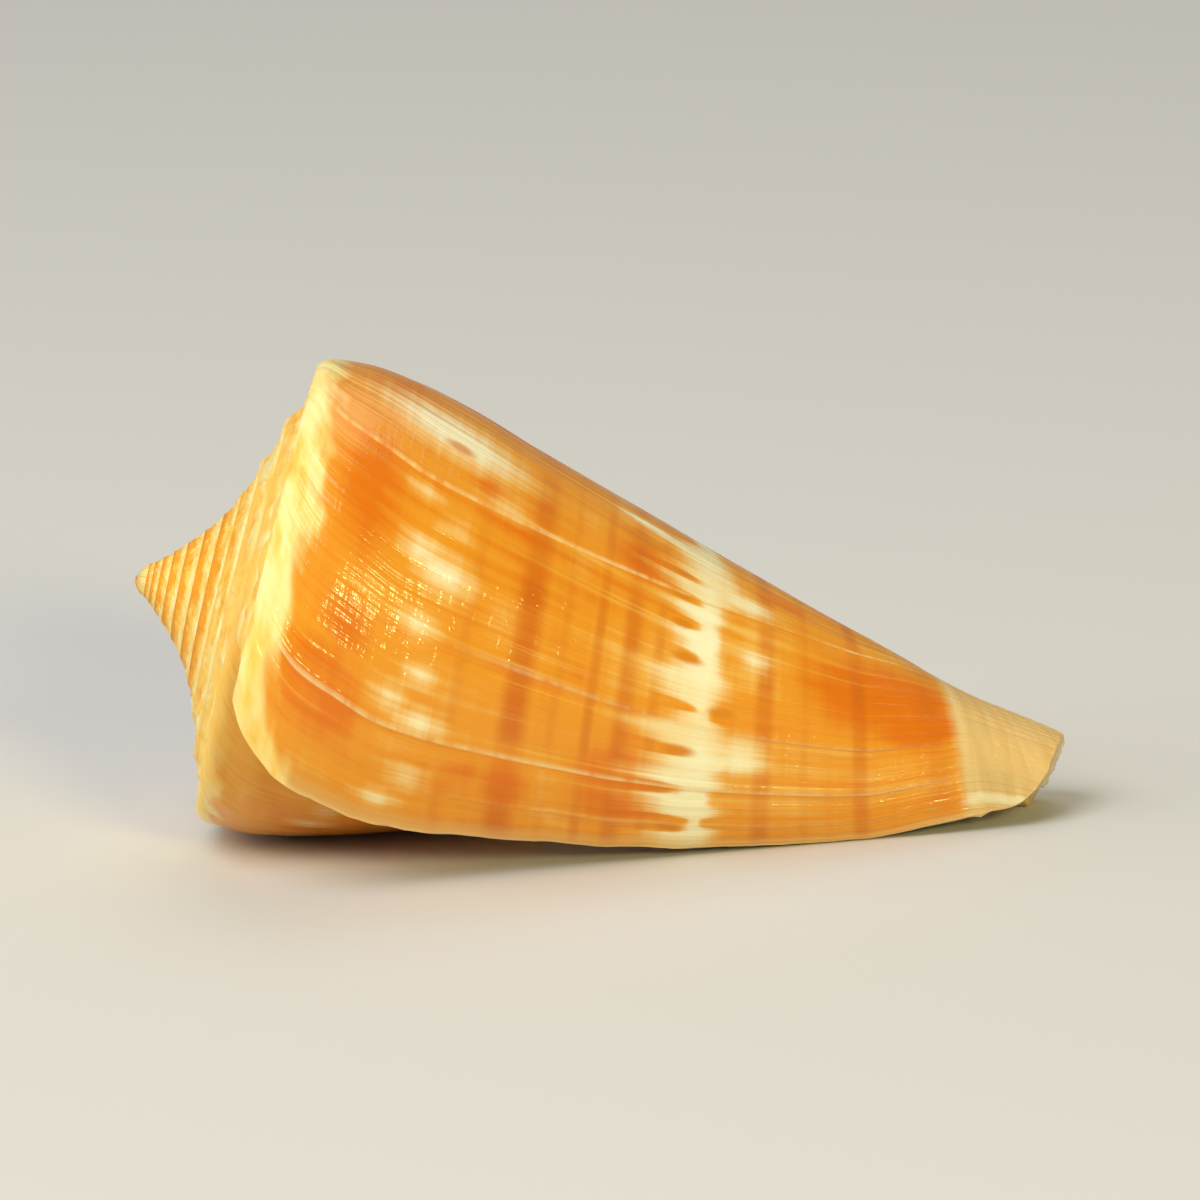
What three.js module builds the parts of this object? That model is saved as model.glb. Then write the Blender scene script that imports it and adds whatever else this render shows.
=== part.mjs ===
// Cone shell: one grown piece, open along its slit aperture, lying on its aperture side.
// Shell frame: the apex is at the origin, the coiling axis runs along +X to the anterior end.
// An angle psi of 0 points up (+Z), and grows towards -Y: the right-handed coil of a cone shell.
// Every length is in millimetres and every angle in degrees.
import * as THREE from "three";

// Growth: each whorl is this many times larger than the one before it.
const WHORL_EXPANSION = 1.32;
const LIP_ANGLE = 118;
const APEX_ANGLE = -3422;

// Spire: a steep, sharp early cone that runs out into a low, slightly concave ramp.
const EARLY_SLOPE = 1.0;
const LATE_SLOPE = 0.28;
const LATE_RISE = 3.83;
const SLOPE_BLEND = 6;
const APEX_CAP = 0.25;
const RAMP_HOLLOW = 0.035;

// The shoulder's plane leans a little from square to the axis, less towards the base.
const SHOULDER_LEAN = 0.02;
const LEAN_FROM = 12;
const LEAN_TO = 40;

// Outline of the last whorl at psi = 0: distance below the shoulder, then radius.
const BODY_OUTLINE = [
  [-1.02, 16.1],
  [-0.64, 16.5],
  [0, 16.7],
  [2, 16.68],
  [5, 16.3],
  [9, 15.4],
  [13.5, 14],
  [27, 9.74],
  [40.5, 5.78],
  [44, 4.8],
  [47.5, 4.2],
  [50.4, 3.6],
  [56.8, 1.8],
  [61, 0.8],
];
const CORNER_DROP = 1.02;
const SUTURE_DROP = -0.7;
const ROOF_DROP = 0.6;
const COLUMELLA_RADIUS = 1.0;
const COLUMELLA_BLEND = 0.5;

// Lip edge, and so every growth line: distance below the shoulder, then angle ahead of it.
const LIP_OUTLINE = [
  [-1.02, -8],
  [0, -1.8],
  [2, 5.4],
  [4.5, 9.5],
  [7.3, 13.6],
  [14, 18],
  [26, 23],
  [34, 19.9],
  [39.5, 7],
  [43, -3],
  [60, -3],
];

// Anterior margin: angle, then distance from the apex.
const MARGIN_OUTLINE = [
  [-600, 58.2],
  [-240, 58.4],
  [-180, 58.7],
  [0, 60],
  [82, 59.3],
  [98, 58.8],
  [110, 58.0],
  [115, 57.2],
  [118, 55.6],
  [160, 54],
];

// Wall and cavity: the last whorl is hollow back to CAVITY_SWEEP behind the lip.
const WALL = 1.15;
const LIP_WALL = 0.6;
const LIP_BEVEL_SWEEP = 20;
const ROOF_WALL = 1.15;
const CAVITY_SWEEP = 210;
const CAVITY_TAPER_SWEEP = 70;
const CAVITY_END = 0.2;

// Rest: turn about the coiling axis, then dip of the anterior end.
const REST_ROLL = -14.2;
const REST_DIP = 15.5;

// Mesh: columns follow the growth lines, rows run from the shoulder to the margin.
const COLUMNS_PER_TURN = 48;
const SUTURE_LAG = 2;
const BODY_ROWS = 20;
const ROW_CROWDING = 0.35;

// A smooth curve through the points: monotone between them, straight beyond them.
function curveThrough(points) {
  const last = points.length - 1;
  const slope = (i) =>
    (points[i + 1][1] - points[i][1]) / (points[i + 1][0] - points[i][0]);
  const tangent = points.map((_, i) => {
    if (i === 0) return slope(0);
    if (i === last) return slope(last - 1);
    const before = slope(i - 1);
    const after = slope(i);
    return before * after > 0 ? (2 * before * after) / (before + after) : 0;
  });
  return (x) => {
    if (x <= points[0][0]) return points[0][1];
    if (x >= points[last][0]) return points[last][1];
    const i = points.findIndex((p) => p[0] > x) - 1;
    const h = points[i + 1][0] - points[i][0];
    const t = (x - points[i][0]) / h;
    const t2 = t * t;
    const t3 = t2 * t;
    return (
      (2 * t3 - 3 * t2 + 1) * points[i][1] +
      (t3 - 2 * t2 + t) * h * tangent[i] +
      (3 * t2 - 2 * t3) * points[i + 1][1] +
      (t3 - t2) * h * tangent[i + 1]
    );
  };
}

const bodyRadius = curveThrough(BODY_OUTLINE);
const lipAdvance = curveThrough(LIP_OUTLINE);
const marginStation = curveThrough(MARGIN_OUTLINE);
const cornerRadius = bodyRadius(-CORNER_DROP);
const growthAt = (psi) => WHORL_EXPANSION ** (psi / 360);

// Distance from the apex to the shoulder of a whorl of relative size k.
function shoulderStation(k) {
  const radius = cornerRadius * k;
  const early = EARLY_SLOPE * radius;
  const late = LATE_RISE + LATE_SLOPE * radius;
  const corner =
    (early ** -SLOPE_BLEND + late ** -SLOPE_BLEND) ** (-1 / SLOPE_BLEND);
  return corner + CORNER_DROP * k;
}

// Radius of the outer surface at angle psi, at a distance from the apex.
function surfaceRadius(psi, station) {
  const k = growthAt(psi);
  const grown = k * bodyRadius((station - shoulderStation(k)) / k);
  const gap = grown - COLUMELLA_RADIUS;
  const rounding = Math.hypot(gap, COLUMELLA_BLEND) - COLUMELLA_BLEND;
  return COLUMELLA_RADIUS + (gap + rounding) / 2;
}

function polar(station, radius, psi) {
  const angle = THREE.MathUtils.degToRad(psi);
  const height = radius * Math.cos(angle);
  const lean = 1 - THREE.MathUtils.smoothstep(station, LEAN_FROM, LEAN_TO);
  return new THREE.Vector3(
    station + SHOULDER_LEAN * lean * height,
    -radius * Math.sin(angle),
    height,
  );
}

// A mesh under construction, with each vertex known by the name of its place.
class Surface {
  constructor() {
    this.points = [];
    this.triangles = [];
    this.places = new Map();
  }

  vertex(place, makePoint) {
    if (!this.places.has(place)) {
      this.places.set(place, this.points.length);
      this.points.push(makePoint());
    }
    return this.places.get(place);
  }

  triangle(a, b, c) {
    this.triangles.push(a, b, c);
  }

  span(a, b) {
    return this.points[a].distanceTo(this.points[b]);
  }

  // Fills between two lines of vertices, each step taking the shorter diagonal.
  zip(left, right) {
    let i = 0;
    let j = 0;
    while (i < left.length - 1 || j < right.length - 1) {
      const leftDone = i === left.length - 1;
      const rightDone = j === right.length - 1;
      const leftIsShorter =
        !leftDone &&
        !rightDone &&
        this.span(left[i + 1], right[j]) < this.span(left[i], right[j + 1]);
      if (rightDone || leftIsShorter) {
        this.triangle(left[i], right[j], left[i + 1]);
        i += 1;
      } else {
        this.triangle(left[i], right[j], right[j + 1]);
        j += 1;
      }
    }
  }

  // Fills a grid given as a list of equal columns of vertices.
  grid(columns) {
    for (let i = 0; i < columns.length - 1; i += 1)
      this.strip(columns[i], columns[i + 1]);
  }

  // Fills between two equal lines, each four-sided patch split on its shorter diagonal.
  strip(left, right) {
    for (let i = 0; i < left.length - 1; i += 1)
      this.zip(left.slice(i, i + 2), right.slice(i, i + 2));
  }

  fan(centre, rim) {
    for (let i = 0; i < rim.length - 1; i += 1)
      this.triangle(centre, rim[i], rim[i + 1]);
  }

  geometry() {
    const made = new THREE.BufferGeometry().setFromPoints(this.points);
    made.setIndex(this.triangles);
    return made;
  }
}

// The whole shell. Column 0 is at the apex and the last column is the lip edge.
class ConeShell {
  constructor() {
    this.step = 360 / COLUMNS_PER_TURN;
    this.lipColumn = Math.round((LIP_ANGLE - APEX_ANGLE) / this.step);
    this.lag = COLUMNS_PER_TURN + SUTURE_LAG;
    this.cavityColumn = this.lipColumn - Math.round(CAVITY_SWEEP / this.step);
    this.bodyColumn = this.lipColumn - this.lag;
    this.firstRow = 3;
    this.lastRow = this.firstRow + BODY_ROWS;
    this.surface = new Surface();
  }

  angle(column) {
    return LIP_ANGLE - (this.lipColumn - column) * this.step;
  }

  // Distance below the shoulder, for a whorl of size 1, of a row in a column.
  drop(column, row) {
    if (row < this.firstRow) return [-CORNER_DROP, SUTURE_DROP, 0][row];
    const k = growthAt(this.angle(column));
    const end = (marginStation(this.angle(column)) - shoulderStation(k)) / k;
    const turn = (2 * Math.PI * (row - this.firstRow)) / BODY_ROWS;
    const share = (turn - ROW_CROWDING * Math.sin(turn)) / (2 * Math.PI);
    return ROOF_DROP + (end - ROOF_DROP) * share;
  }

  // Angle and distance from the apex of a place on the outer surface.
  place(column, row) {
    const drop = this.drop(column, row);
    const psi = this.angle(column) + lipAdvance(drop);
    const k = growthAt(psi);
    return { psi, station: shoulderStation(k) + k * drop };
  }

  outer(column, row) {
    return this.surface.vertex(`outer ${column} ${row}`, () => {
      const { psi, station } = this.place(column, row);
      return polar(station, surfaceRadius(psi, station), psi);
    });
  }

  // How far the wall and the cavity behind a column have reached their full size.
  wallAt(column) {
    const behind = (this.lipColumn - column) * this.step;
    const share = THREE.MathUtils.smoothstep(behind, 0, LIP_BEVEL_SWEEP);
    return THREE.MathUtils.lerp(LIP_WALL, WALL, share);
  }

  opennessAt(column) {
    const ahead = (column - this.cavityColumn) * this.step;
    const share = THREE.MathUtils.smoothstep(ahead, 0, CAVITY_TAPER_SWEEP);
    return THREE.MathUtils.lerp(CAVITY_END, 1, share);
  }

  // The inner side of the outer wall, never closer to the axis than the older whorl.
  inner(column, row) {
    return this.surface.vertex(`inner ${column} ${row}`, () => {
      const { psi, station } = this.place(column, row);
      const rim = this.place(column, this.lastRow).station;
      const sunk = ROOF_WALL * ((rim - station) / rim) ** 6;
      const level = station + sunk;
      const older = surfaceRadius(psi - 360, level);
      const wall = surfaceRadius(psi, level) - this.wallAt(column);
      const radius = older + (wall - older) * this.opennessAt(column);
      return polar(level, radius, psi);
    });
  }

  // Halfway along the ramp, on its outside or underneath it.
  ramp(column, under) {
    return this.surface.vertex(`ramp ${column} ${under}`, () => {
      const points = this.surface.points;
      const older = points[this.outer(column - this.lag, under ? this.firstRow : 1)];
      const newer = points[under ? this.inner(column, this.firstRow) : this.outer(column, 0)];
      const middle = older.clone().add(newer).divideScalar(2);
      const radius = (Math.hypot(older.y, older.z) + Math.hypot(newer.y, newer.z)) / 2;
      const reach = radius / Math.hypot(middle.y, middle.z);
      middle.set(middle.x + RAMP_HOLLOW * radius, middle.y * reach, middle.z * reach);
      return middle;
    });
  }

  bodyLine(column, fromRow) {
    const rows = [];
    for (let row = fromRow; row <= this.lastRow; row += 1)
      rows.push(this.outer(column, row));
    return rows;
  }

  innerLine(column) {
    const rows = [];
    for (let row = this.firstRow; row <= this.lastRow; row += 1)
      rows.push(this.inner(column, row));
    return rows;
  }

  columns(from, to, makeLine) {
    const lines = [];
    for (let column = from; column <= to; column += 1) lines.push(makeLine(column));
    return lines;
  }

  spire() {
    const apex = this.surface.vertex("apex", () => new THREE.Vector3(APEX_CAP, 0, 0));
    const corner = (column) => this.outer(column, 0);
    this.surface.fan(apex, this.columns(0, this.lag, corner).reverse());
    this.surface.grid(
      this.columns(0, this.lipColumn, (column) => [corner(column), this.outer(column, 1)]),
    );
    this.surface.grid(
      this.columns(this.lag, this.lipColumn, (column) => [
        this.outer(column - this.lag, 1),
        this.ramp(column, false),
        corner(column),
      ]),
    );
    const step = [corner(0), this.outer(0, 1), this.ramp(this.lag, false), corner(this.lag)];
    this.surface.fan(apex, step);
  }

  body() {
    this.surface.grid(
      this.columns(this.bodyColumn, this.lipColumn, (column) => [
        this.outer(column, 1),
        this.outer(column, 2),
        this.outer(column, this.firstRow),
      ]),
    );
    this.surface.grid(
      this.columns(this.cavityColumn - this.lag, this.lipColumn, (column) =>
        this.bodyLine(column, this.firstRow),
      ),
    );
  }

  cavity() {
    this.surface.grid(
      this.columns(this.cavityColumn, this.lipColumn, (column) =>
        this.innerLine(column).reverse(),
      ),
    );
    this.surface.grid(
      this.columns(this.cavityColumn, this.lipColumn, (column) => [
        this.inner(column, this.firstRow),
        this.ramp(column, true),
        this.outer(column - this.lag, this.firstRow),
      ]),
    );
    const older = this.bodyLine(this.cavityColumn - this.lag, this.firstRow);
    const end = this.innerLine(this.cavityColumn);
    const roof = this.ramp(this.cavityColumn, true);
    this.surface.triangle(older[0], end[0], roof);
    this.surface.strip(end, older);
  }

  lipEdge() {
    const lip = this.lipColumn;
    const outside = [
      this.outer(lip - this.lag, 1),
      this.ramp(lip, false),
      this.outer(lip, 0),
      this.outer(lip, 1),
      this.outer(lip, 2),
      this.outer(lip, this.firstRow),
    ];
    const inside = [
      this.outer(lip - this.lag, 2),
      this.outer(lip - this.lag, this.firstRow),
      this.ramp(lip, true),
      this.inner(lip, this.firstRow),
    ];
    this.surface.zip(outside, inside);
    this.surface.strip(this.bodyLine(lip, this.firstRow), this.innerLine(lip));
  }

  anteriorEnd() {
    const last = this.lastRow;
    this.surface.grid(
      this.columns(this.cavityColumn, this.lipColumn, (column) => [
        this.outer(column, last),
        this.inner(column, last),
      ]),
    );
    const rimVertex = (column) => this.outer(column, last);
    const start = this.cavityColumn - this.lag;
    const overlap = this.cavityColumn - SUTURE_LAG - 1;
    const tip = marginStation(this.angle(this.cavityColumn - COLUMNS_PER_TURN / 2));
    const centre = this.surface.vertex("columella tip", () => new THREE.Vector3(tip, 0, 0));
    const round = this.columns(start, overlap, rimVertex);
    this.surface.fan(centre, [...round, rimVertex(start)]);
    const tail = this.columns(overlap, this.cavityColumn, rimVertex);
    tail.push(this.inner(this.cavityColumn, last));
    this.surface.fan(rimVertex(start), tail);
  }

  geometry() {
    this.spire();
    this.body();
    this.cavity();
    this.lipEdge();
    this.anteriorEnd();
    return this.surface.geometry();
  }
}

// Lays the shell down: the floor is Z = 0 and the footprint is centred on the origin.
function layDown(geometry) {
  geometry.rotateX(THREE.MathUtils.degToRad(REST_ROLL));
  geometry.rotateY(THREE.MathUtils.degToRad(REST_DIP));
  geometry.computeBoundingBox();
  const { min, max } = geometry.boundingBox;
  geometry.translate(-(min.x + max.x) / 2, -(min.y + max.y) / 2, -min.z);
  return geometry;
}

const porcelain = new THREE.MeshStandardMaterial({
  color: 0xd98a3a,
  roughness: 0.32,
  metalness: 0,
});
const shell = new THREE.Mesh(layDown(new ConeShell().geometry()), porcelain);
shell.name = "shell";

const coneShell = new THREE.Group();
coneShell.name = "cone_shell";
coneShell.add(shell);
export default coneShell;
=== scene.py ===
"""A cone shell, grown whorl by whorl from one rule and laid down on its aperture side."""

import logging
import math
from collections.abc import Callable, Iterable, Sequence
from dataclasses import dataclass, field
from enum import Enum
from typing import NamedTuple

import bmesh
import bpy
import numpy as np
from mathutils import Matrix, Vector


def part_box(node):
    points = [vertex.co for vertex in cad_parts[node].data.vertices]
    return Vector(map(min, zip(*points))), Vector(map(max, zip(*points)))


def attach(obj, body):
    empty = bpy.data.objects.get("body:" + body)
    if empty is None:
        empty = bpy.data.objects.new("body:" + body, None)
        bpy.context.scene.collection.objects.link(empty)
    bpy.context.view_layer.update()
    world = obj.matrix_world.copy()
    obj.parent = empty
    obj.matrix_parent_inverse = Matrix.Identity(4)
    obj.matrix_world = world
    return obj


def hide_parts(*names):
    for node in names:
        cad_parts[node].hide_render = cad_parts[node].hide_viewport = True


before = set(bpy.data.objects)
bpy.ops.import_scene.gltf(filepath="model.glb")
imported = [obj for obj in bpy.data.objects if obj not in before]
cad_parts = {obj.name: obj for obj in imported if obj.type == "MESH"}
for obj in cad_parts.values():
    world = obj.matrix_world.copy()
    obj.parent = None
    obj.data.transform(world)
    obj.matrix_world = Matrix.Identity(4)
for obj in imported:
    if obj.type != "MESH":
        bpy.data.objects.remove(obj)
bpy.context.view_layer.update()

log = logging.getLogger("cone_shell")

MM = 0.001
TURN = 360.0


@dataclass(frozen=True)
class Outline:
    """A smooth outline through points, held level past its ends.

    crowding: above 1, the outline is kept more finely near its start.
    """

    points: tuple[tuple[float, float], ...]
    crowding: float = 1.0
    stops: int = 48

    def read(self, places: np.ndarray) -> np.ndarray:
        """Reads the outline, which never swings past its points.

        Args:
            places: where to read it.

        Returns:
            Its heights there.
        """
        xs, ys = (np.array(values, float) for values in zip(*self.points))
        widths = np.diff(xs)
        slopes = np.diff(ys) / widths
        before, after = slopes[:-1], slopes[1:]
        total = np.where(before + after == 0, 1, before + after)
        middle = np.where(before * after > 0, 2 * before * after / total, 0)
        tangents = np.concatenate([slopes[:1], middle, slopes[-1:]])
        held = np.clip(places, xs[0], xs[-1])
        i = np.clip(np.searchsorted(xs, held, side="right") - 1, 0, len(widths) - 1)
        t = (held - xs[i]) / widths[i]
        rise = t * t * (3 - 2 * t)
        start = widths[i] * tangents[i] * t * (1 - t) ** 2
        end = widths[i] * tangents[i + 1] * t * t * (t - 1)
        return ys[i] * (1 - rise) + ys[i + 1] * rise + start + end

    def samples(self) -> tuple[np.ndarray, np.ndarray]:
        """The outline at even steps of its own scale, and that scale from 0 to 1.

        Returns:
            The scale and the heights.
        """
        scale = np.linspace(0, 1, self.stops)
        low, high = self.points[0][0], self.points[-1][0]
        return scale, self.read(low + (high - low) * scale**self.crowding)


# ---------------------------------------------------------------- node trees


class Blend(Enum):
    """How a value passes between two limits."""

    STRAIGHT = "LINEAR"
    SMOOTH = "SMOOTHSTEP"


@dataclass(frozen=True)
class Field:
    """A value flowing through a node tree, on which plain arithmetic can be done."""

    tree: "Tree"
    socket: bpy.types.NodeSocket

    def __add__(self, other: "Field | float") -> "Field":
        """The sum."""
        return self.tree.math("ADD", self, other)

    def __sub__(self, other: "Field | float") -> "Field":
        """The difference."""
        return self.tree.math("SUBTRACT", self, other)

    def __rsub__(self, other: float) -> "Field":
        """The difference from a plain number."""
        return self.tree.math("SUBTRACT", other, self)

    def __mul__(self, other: "Field | float") -> "Field":
        """The product."""
        return self.tree.math("MULTIPLY", self, other)

    def __truediv__(self, other: "Field | float") -> "Field":
        """The quotient."""
        return self.tree.math("DIVIDE", self, other)

    def __pow__(self, other: "Field | float") -> "Field":
        """The power."""
        return self.tree.math("POWER", self, other)

    def __rpow__(self, other: float) -> "Field":
        """A plain number raised to this power."""
        return self.tree.math("POWER", other, self)

    __rmul__ = __mul__

    def toward(self, other: "Field | float", share: "Field | float") -> "Field":
        """The value a share of the way from this one to another."""
        return self + (other - self) * share


class Tree:
    """A node tree under construction, with one method for each kind of node in use."""

    def __init__(self, nodes: bpy.types.NodeTree) -> None:
        """Wraps a tree that Blender made.

        Args:
            nodes: the empty tree.
        """
        self.nodes = nodes

    def node(self, kind: str, **settings: object) -> bpy.types.Node:
        """Adds a node.

        Args:
            kind: Blender's type name of the node.
            settings: the node's own options.

        Returns:
            The new node.
        """
        made = self.nodes.nodes.new(kind)
        for name, value in settings.items():
            setattr(made, name, value)
        return made

    def feed(self, slot: bpy.types.NodeSocket, value: object) -> None:
        """Links a field to a socket, or sets the socket to a plain value.

        Args:
            slot: the socket.
            value: the field or the plain value.
        """
        if isinstance(value, Field):
            self.nodes.links.new(value.socket, slot)
        else:
            slot.default_value = value

    def wire(self, kind: str, inputs: dict[str, object], **settings: object) -> bpy.types.Node:
        """Adds a node and feeds its inputs by name.

        Args:
            kind: Blender's type name of the node.
            inputs: its inputs, by name.
            settings: its own options.

        Returns:
            The new node.
        """
        made = self.node(kind, **settings)
        for name, value in inputs.items():
            self.feed(made.inputs[name], value)
        return made

    def math(self, operation: str, *values: Field | float) -> Field:
        """One step of arithmetic.

        Args:
            operation: Blender's name of the step.
            values: what it works on.

        Returns:
            The result.
        """
        made = self.node("ShaderNodeMath", operation=operation)
        for slot, value in zip(made.inputs, values):
            self.feed(slot, value)
        return Field(self, made.outputs[0])

    def ramp(
        self,
        value: Field,
        start: Field | float,
        end: Field | float,
        low: Field | float = 0.0,
        high: Field | float = 1.0,
        blend: Blend = Blend.SMOOTH,
    ) -> Field:
        """Carries a value from one range to another and holds it at the limits.

        Args:
            value: the value to carry.
            start: where the change begins.
            end: where it ends.
            low: the result before the start.
            high: the result after the end.
            blend: straight or eased.

        Returns:
            The carried value.
        """
        made = self.node("ShaderNodeMapRange", interpolation_type=blend.value)
        for slot, given in zip(made.inputs, (value, start, end, low, high)):
            self.feed(slot, given)
        return Field(self, made.outputs[0])

    def outline(self, value: Field, outline: Outline) -> Field:
        """Reads a smooth outline at a value.

        Args:
            value: where to read it.
            outline: the outline.

        Returns:
            The outline's height there.
        """
        scale, heights = outline.samples()
        low, high = float(heights.min()), float(heights.max())
        levels = (heights - low) / (high - low)
        made = self.node("ShaderNodeFloatCurve")
        curve = made.mapping.curves[0]
        for x, y in list(zip(scale, levels))[1:-1]:
            curve.points.new(x, y)
        curve.points[0].location = (0.0, levels[0])
        curve.points[len(scale) - 1].location = (1.0, levels[-1])
        made.mapping.update()
        ends = outline.points[0][0], outline.points[-1][0]
        place = self.ramp(value, *ends, blend=Blend.STRAIGHT)
        self.feed(made.inputs["Value"], place ** (1 / outline.crowding))
        return Field(self, made.outputs[0]) * (high - low) + low

    def vector(self, x: Field | float, y: Field | float = 0.0, z: Field | float = 0.0) -> Field:
        """Joins three values into a vector."""
        made = self.wire("ShaderNodeCombineXYZ", {"X": x, "Y": y, "Z": z})
        return Field(self, made.outputs[0])

    def parts(self, vector: Field) -> tuple[Field, Field, Field]:
        """Splits a vector into its three values."""
        made = self.wire("ShaderNodeSeparateXYZ", {"Vector": vector})
        return tuple(Field(self, socket) for socket in made.outputs)

    def noise(self, place: Field, scale: float = 1.0, detail: float = 2.0, **more: float) -> Field:
        """Smooth noise from -1 to 1, about 0.

        Args:
            place: where to read it.
            scale: how fine it is.
            detail: how many finer layers it has.
            more: other inputs of the noise, by name.

        Returns:
            The noise.
        """
        inputs = {"Vector": place, "Scale": scale, "Detail": detail, **more}
        made = self.wire("ShaderNodeTexNoise", inputs)
        return (Field(self, made.outputs[0]) - 0.5) * 2.0

    def tint(self, share: Field | float, first: object, second: object) -> Field:
        """Mixes two colours by a share.

        Args:
            share: how much of the second.
            first: the first colour.
            second: the second colour.

        Returns:
            The mixed colour.
        """
        made = self.node("ShaderNodeMix", data_type="RGBA")
        self.feed(made.inputs[0], share)
        self.feed(made.inputs[6], first)
        self.feed(made.inputs[7], second)
        return Field(self, made.outputs[2])


@dataclass(frozen=True)
class Grain:
    """How fine a noise lies over the growth.

    turn: its fineness along the whorl, for each degree.
    across: its fineness across the whorl, for each millimetre, or for a whole ramp.
    seed: where in the noise it is read.
    detail: how many finer layers it has.
    """

    turn: float
    across: float
    seed: float
    detail: float = 3.0

    def read(self, turn: Field, across: Field, seed: Field | float = 0.0) -> Field:
        """The noise at a place, from -1 to 1."""
        place = turn.tree.vector(turn * self.turn, across * self.across, seed + self.seed)
        return turn.tree.noise(place, detail=self.detail)


@dataclass(frozen=True)
class Span:
    """A range over which something comes in, or goes out where the end is below the start."""

    start: float
    end: float

    def read(self, value: Field, low: Field | float = 0.0, high: Field | float = 1.0) -> Field:
        """Carries a value over the range, eased, from one limit to the other."""
        return value.tree.ramp(value, self.start, self.end, low, high)


# ---------------------------------------------------------------- the growth rule


@dataclass(frozen=True)
class GrowthRule:
    """The sizes of the growth rule, in millimetres and degrees.

    An angle of 0 is on top of the shell and grows towards the lip. The drop is the distance
    below the shoulder in a whorl of size 1, and the station is the distance from the apex.
    """

    whorl_expansion: float = 1.32
    lip_angle: float = 118.0
    apex_angle: float = -3782.0
    spire_slope: float = 0.28
    spire_rise: float = 3.83
    slope_blend: float = 6.0
    ramp_hollow: float = 0.035
    corner_radius: float = 16.1
    corner_drop: float = 1.02
    suture_drop: float = -0.7
    roof_drop: float = 0.6
    roof_fall: float = 6.0
    suture_lag: float = 15.0
    shoulder_lean: float = 0.02
    lean_from: float = 12.0
    lean_to: float = 40.0
    columella_radius: float = 1.0
    columella_blend: float = 0.5
    wall: float = 1.15
    lip_wall: float = 0.6
    lip_bevel_sweep: float = 20.0
    cavity_sweep: float = 210.0
    cavity_taper_sweep: float = 70.0
    cavity_end: float = 0.2
    body_outline: Outline = Outline(
        (
            (-1.02, 16.1), (-0.64, 16.5), (0, 16.7), (2, 16.68), (5, 16.3), (9, 15.4),
            (13.5, 14), (27, 9.74), (40.5, 5.78), (44, 4.8), (47.5, 4.2), (50.4, 3.6),
            (56.8, 1.8), (61, 0.8),
        ),
        crowding=2.0,
        stops=64,
    )
    lip_outline: Outline = Outline(
        (
            (-1.02, -8), (0, -1.8), (2, 5.4), (4.5, 9.5), (7.3, 13.6), (14, 18), (26, 23),
            (34, 19.9), (39.5, 7), (43, -3), (60, -3),
        ),
        crowding=1.5,
    )
    margin_outline: Outline = Outline(
        (
            (-260, 58.4), (-180, 58.7), (0, 60), (82, 59.3), (98, 58.8), (110, 58.0),
            (115, 57.2), (118, 55.6),
        ),
        stops=128,
    )

    @property
    def whole_lag(self) -> float:
        """How far back the whorl that a ramp leans on was grown."""
        return TURN + self.suture_lag

    @property
    def body_angle(self) -> float:
        """Where the outside of the last whorl begins, under the lip."""
        return self.lip_angle - self.whole_lag

    @property
    def cavity_angle(self) -> float:
        """Where the hollow of the last whorl ends."""
        return self.lip_angle - self.cavity_sweep


# ---------------------------------------------------------------- the chart of places


class Place(NamedTuple):
    """Where a point of the surface sits in the growth, before it has any position.

    turn: angle of growth, in degrees.
    drop: distance below the shoulder, in a whorl of size 1.
    share: how far on from that towards the anterior margin, 0 to 1.
    ramp: how far out from the older whorl towards the shoulder, 0 to 1.
    seat: the drop on the older whorl that the ramp leans on.
    depth: 0 on the outside of the wall, 1 on the inside.
    swell: how far the lip's edge stands forward, in millimetres.
    jut: how far the anterior rim stands forward, in millimetres.
    shrink: how far out from the coiling axis, 0 to 1.
    cap: 1 on the rounded first whorl at the apex.
    """

    turn: float
    drop: float
    share: float = 0.0
    ramp: float = 1.0
    seat: float = 0.0
    depth: float = 0.0
    swell: float = 0.0
    jut: float = 0.0
    shrink: float = 1.0
    cap: float = 0.0


Line = list[tuple[float, int]]

# Every line counts from 2 to 3 over the body. The lip's lines count from 0 to 1 over the ramp,
# and on from 1 over the shoulder, by the drop over SHOULDER_REACH.
BODY_LEVEL = 2.0
SHOULDER_LEVEL = 1.0
SHOULDER_REACH = 1.7

# The count between the points of the older whorl at the start of the lip's inner line.
SEAT_STEP = 0.02

# Angles closer than this are taken as the same.
NEAR = 1e-6


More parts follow.
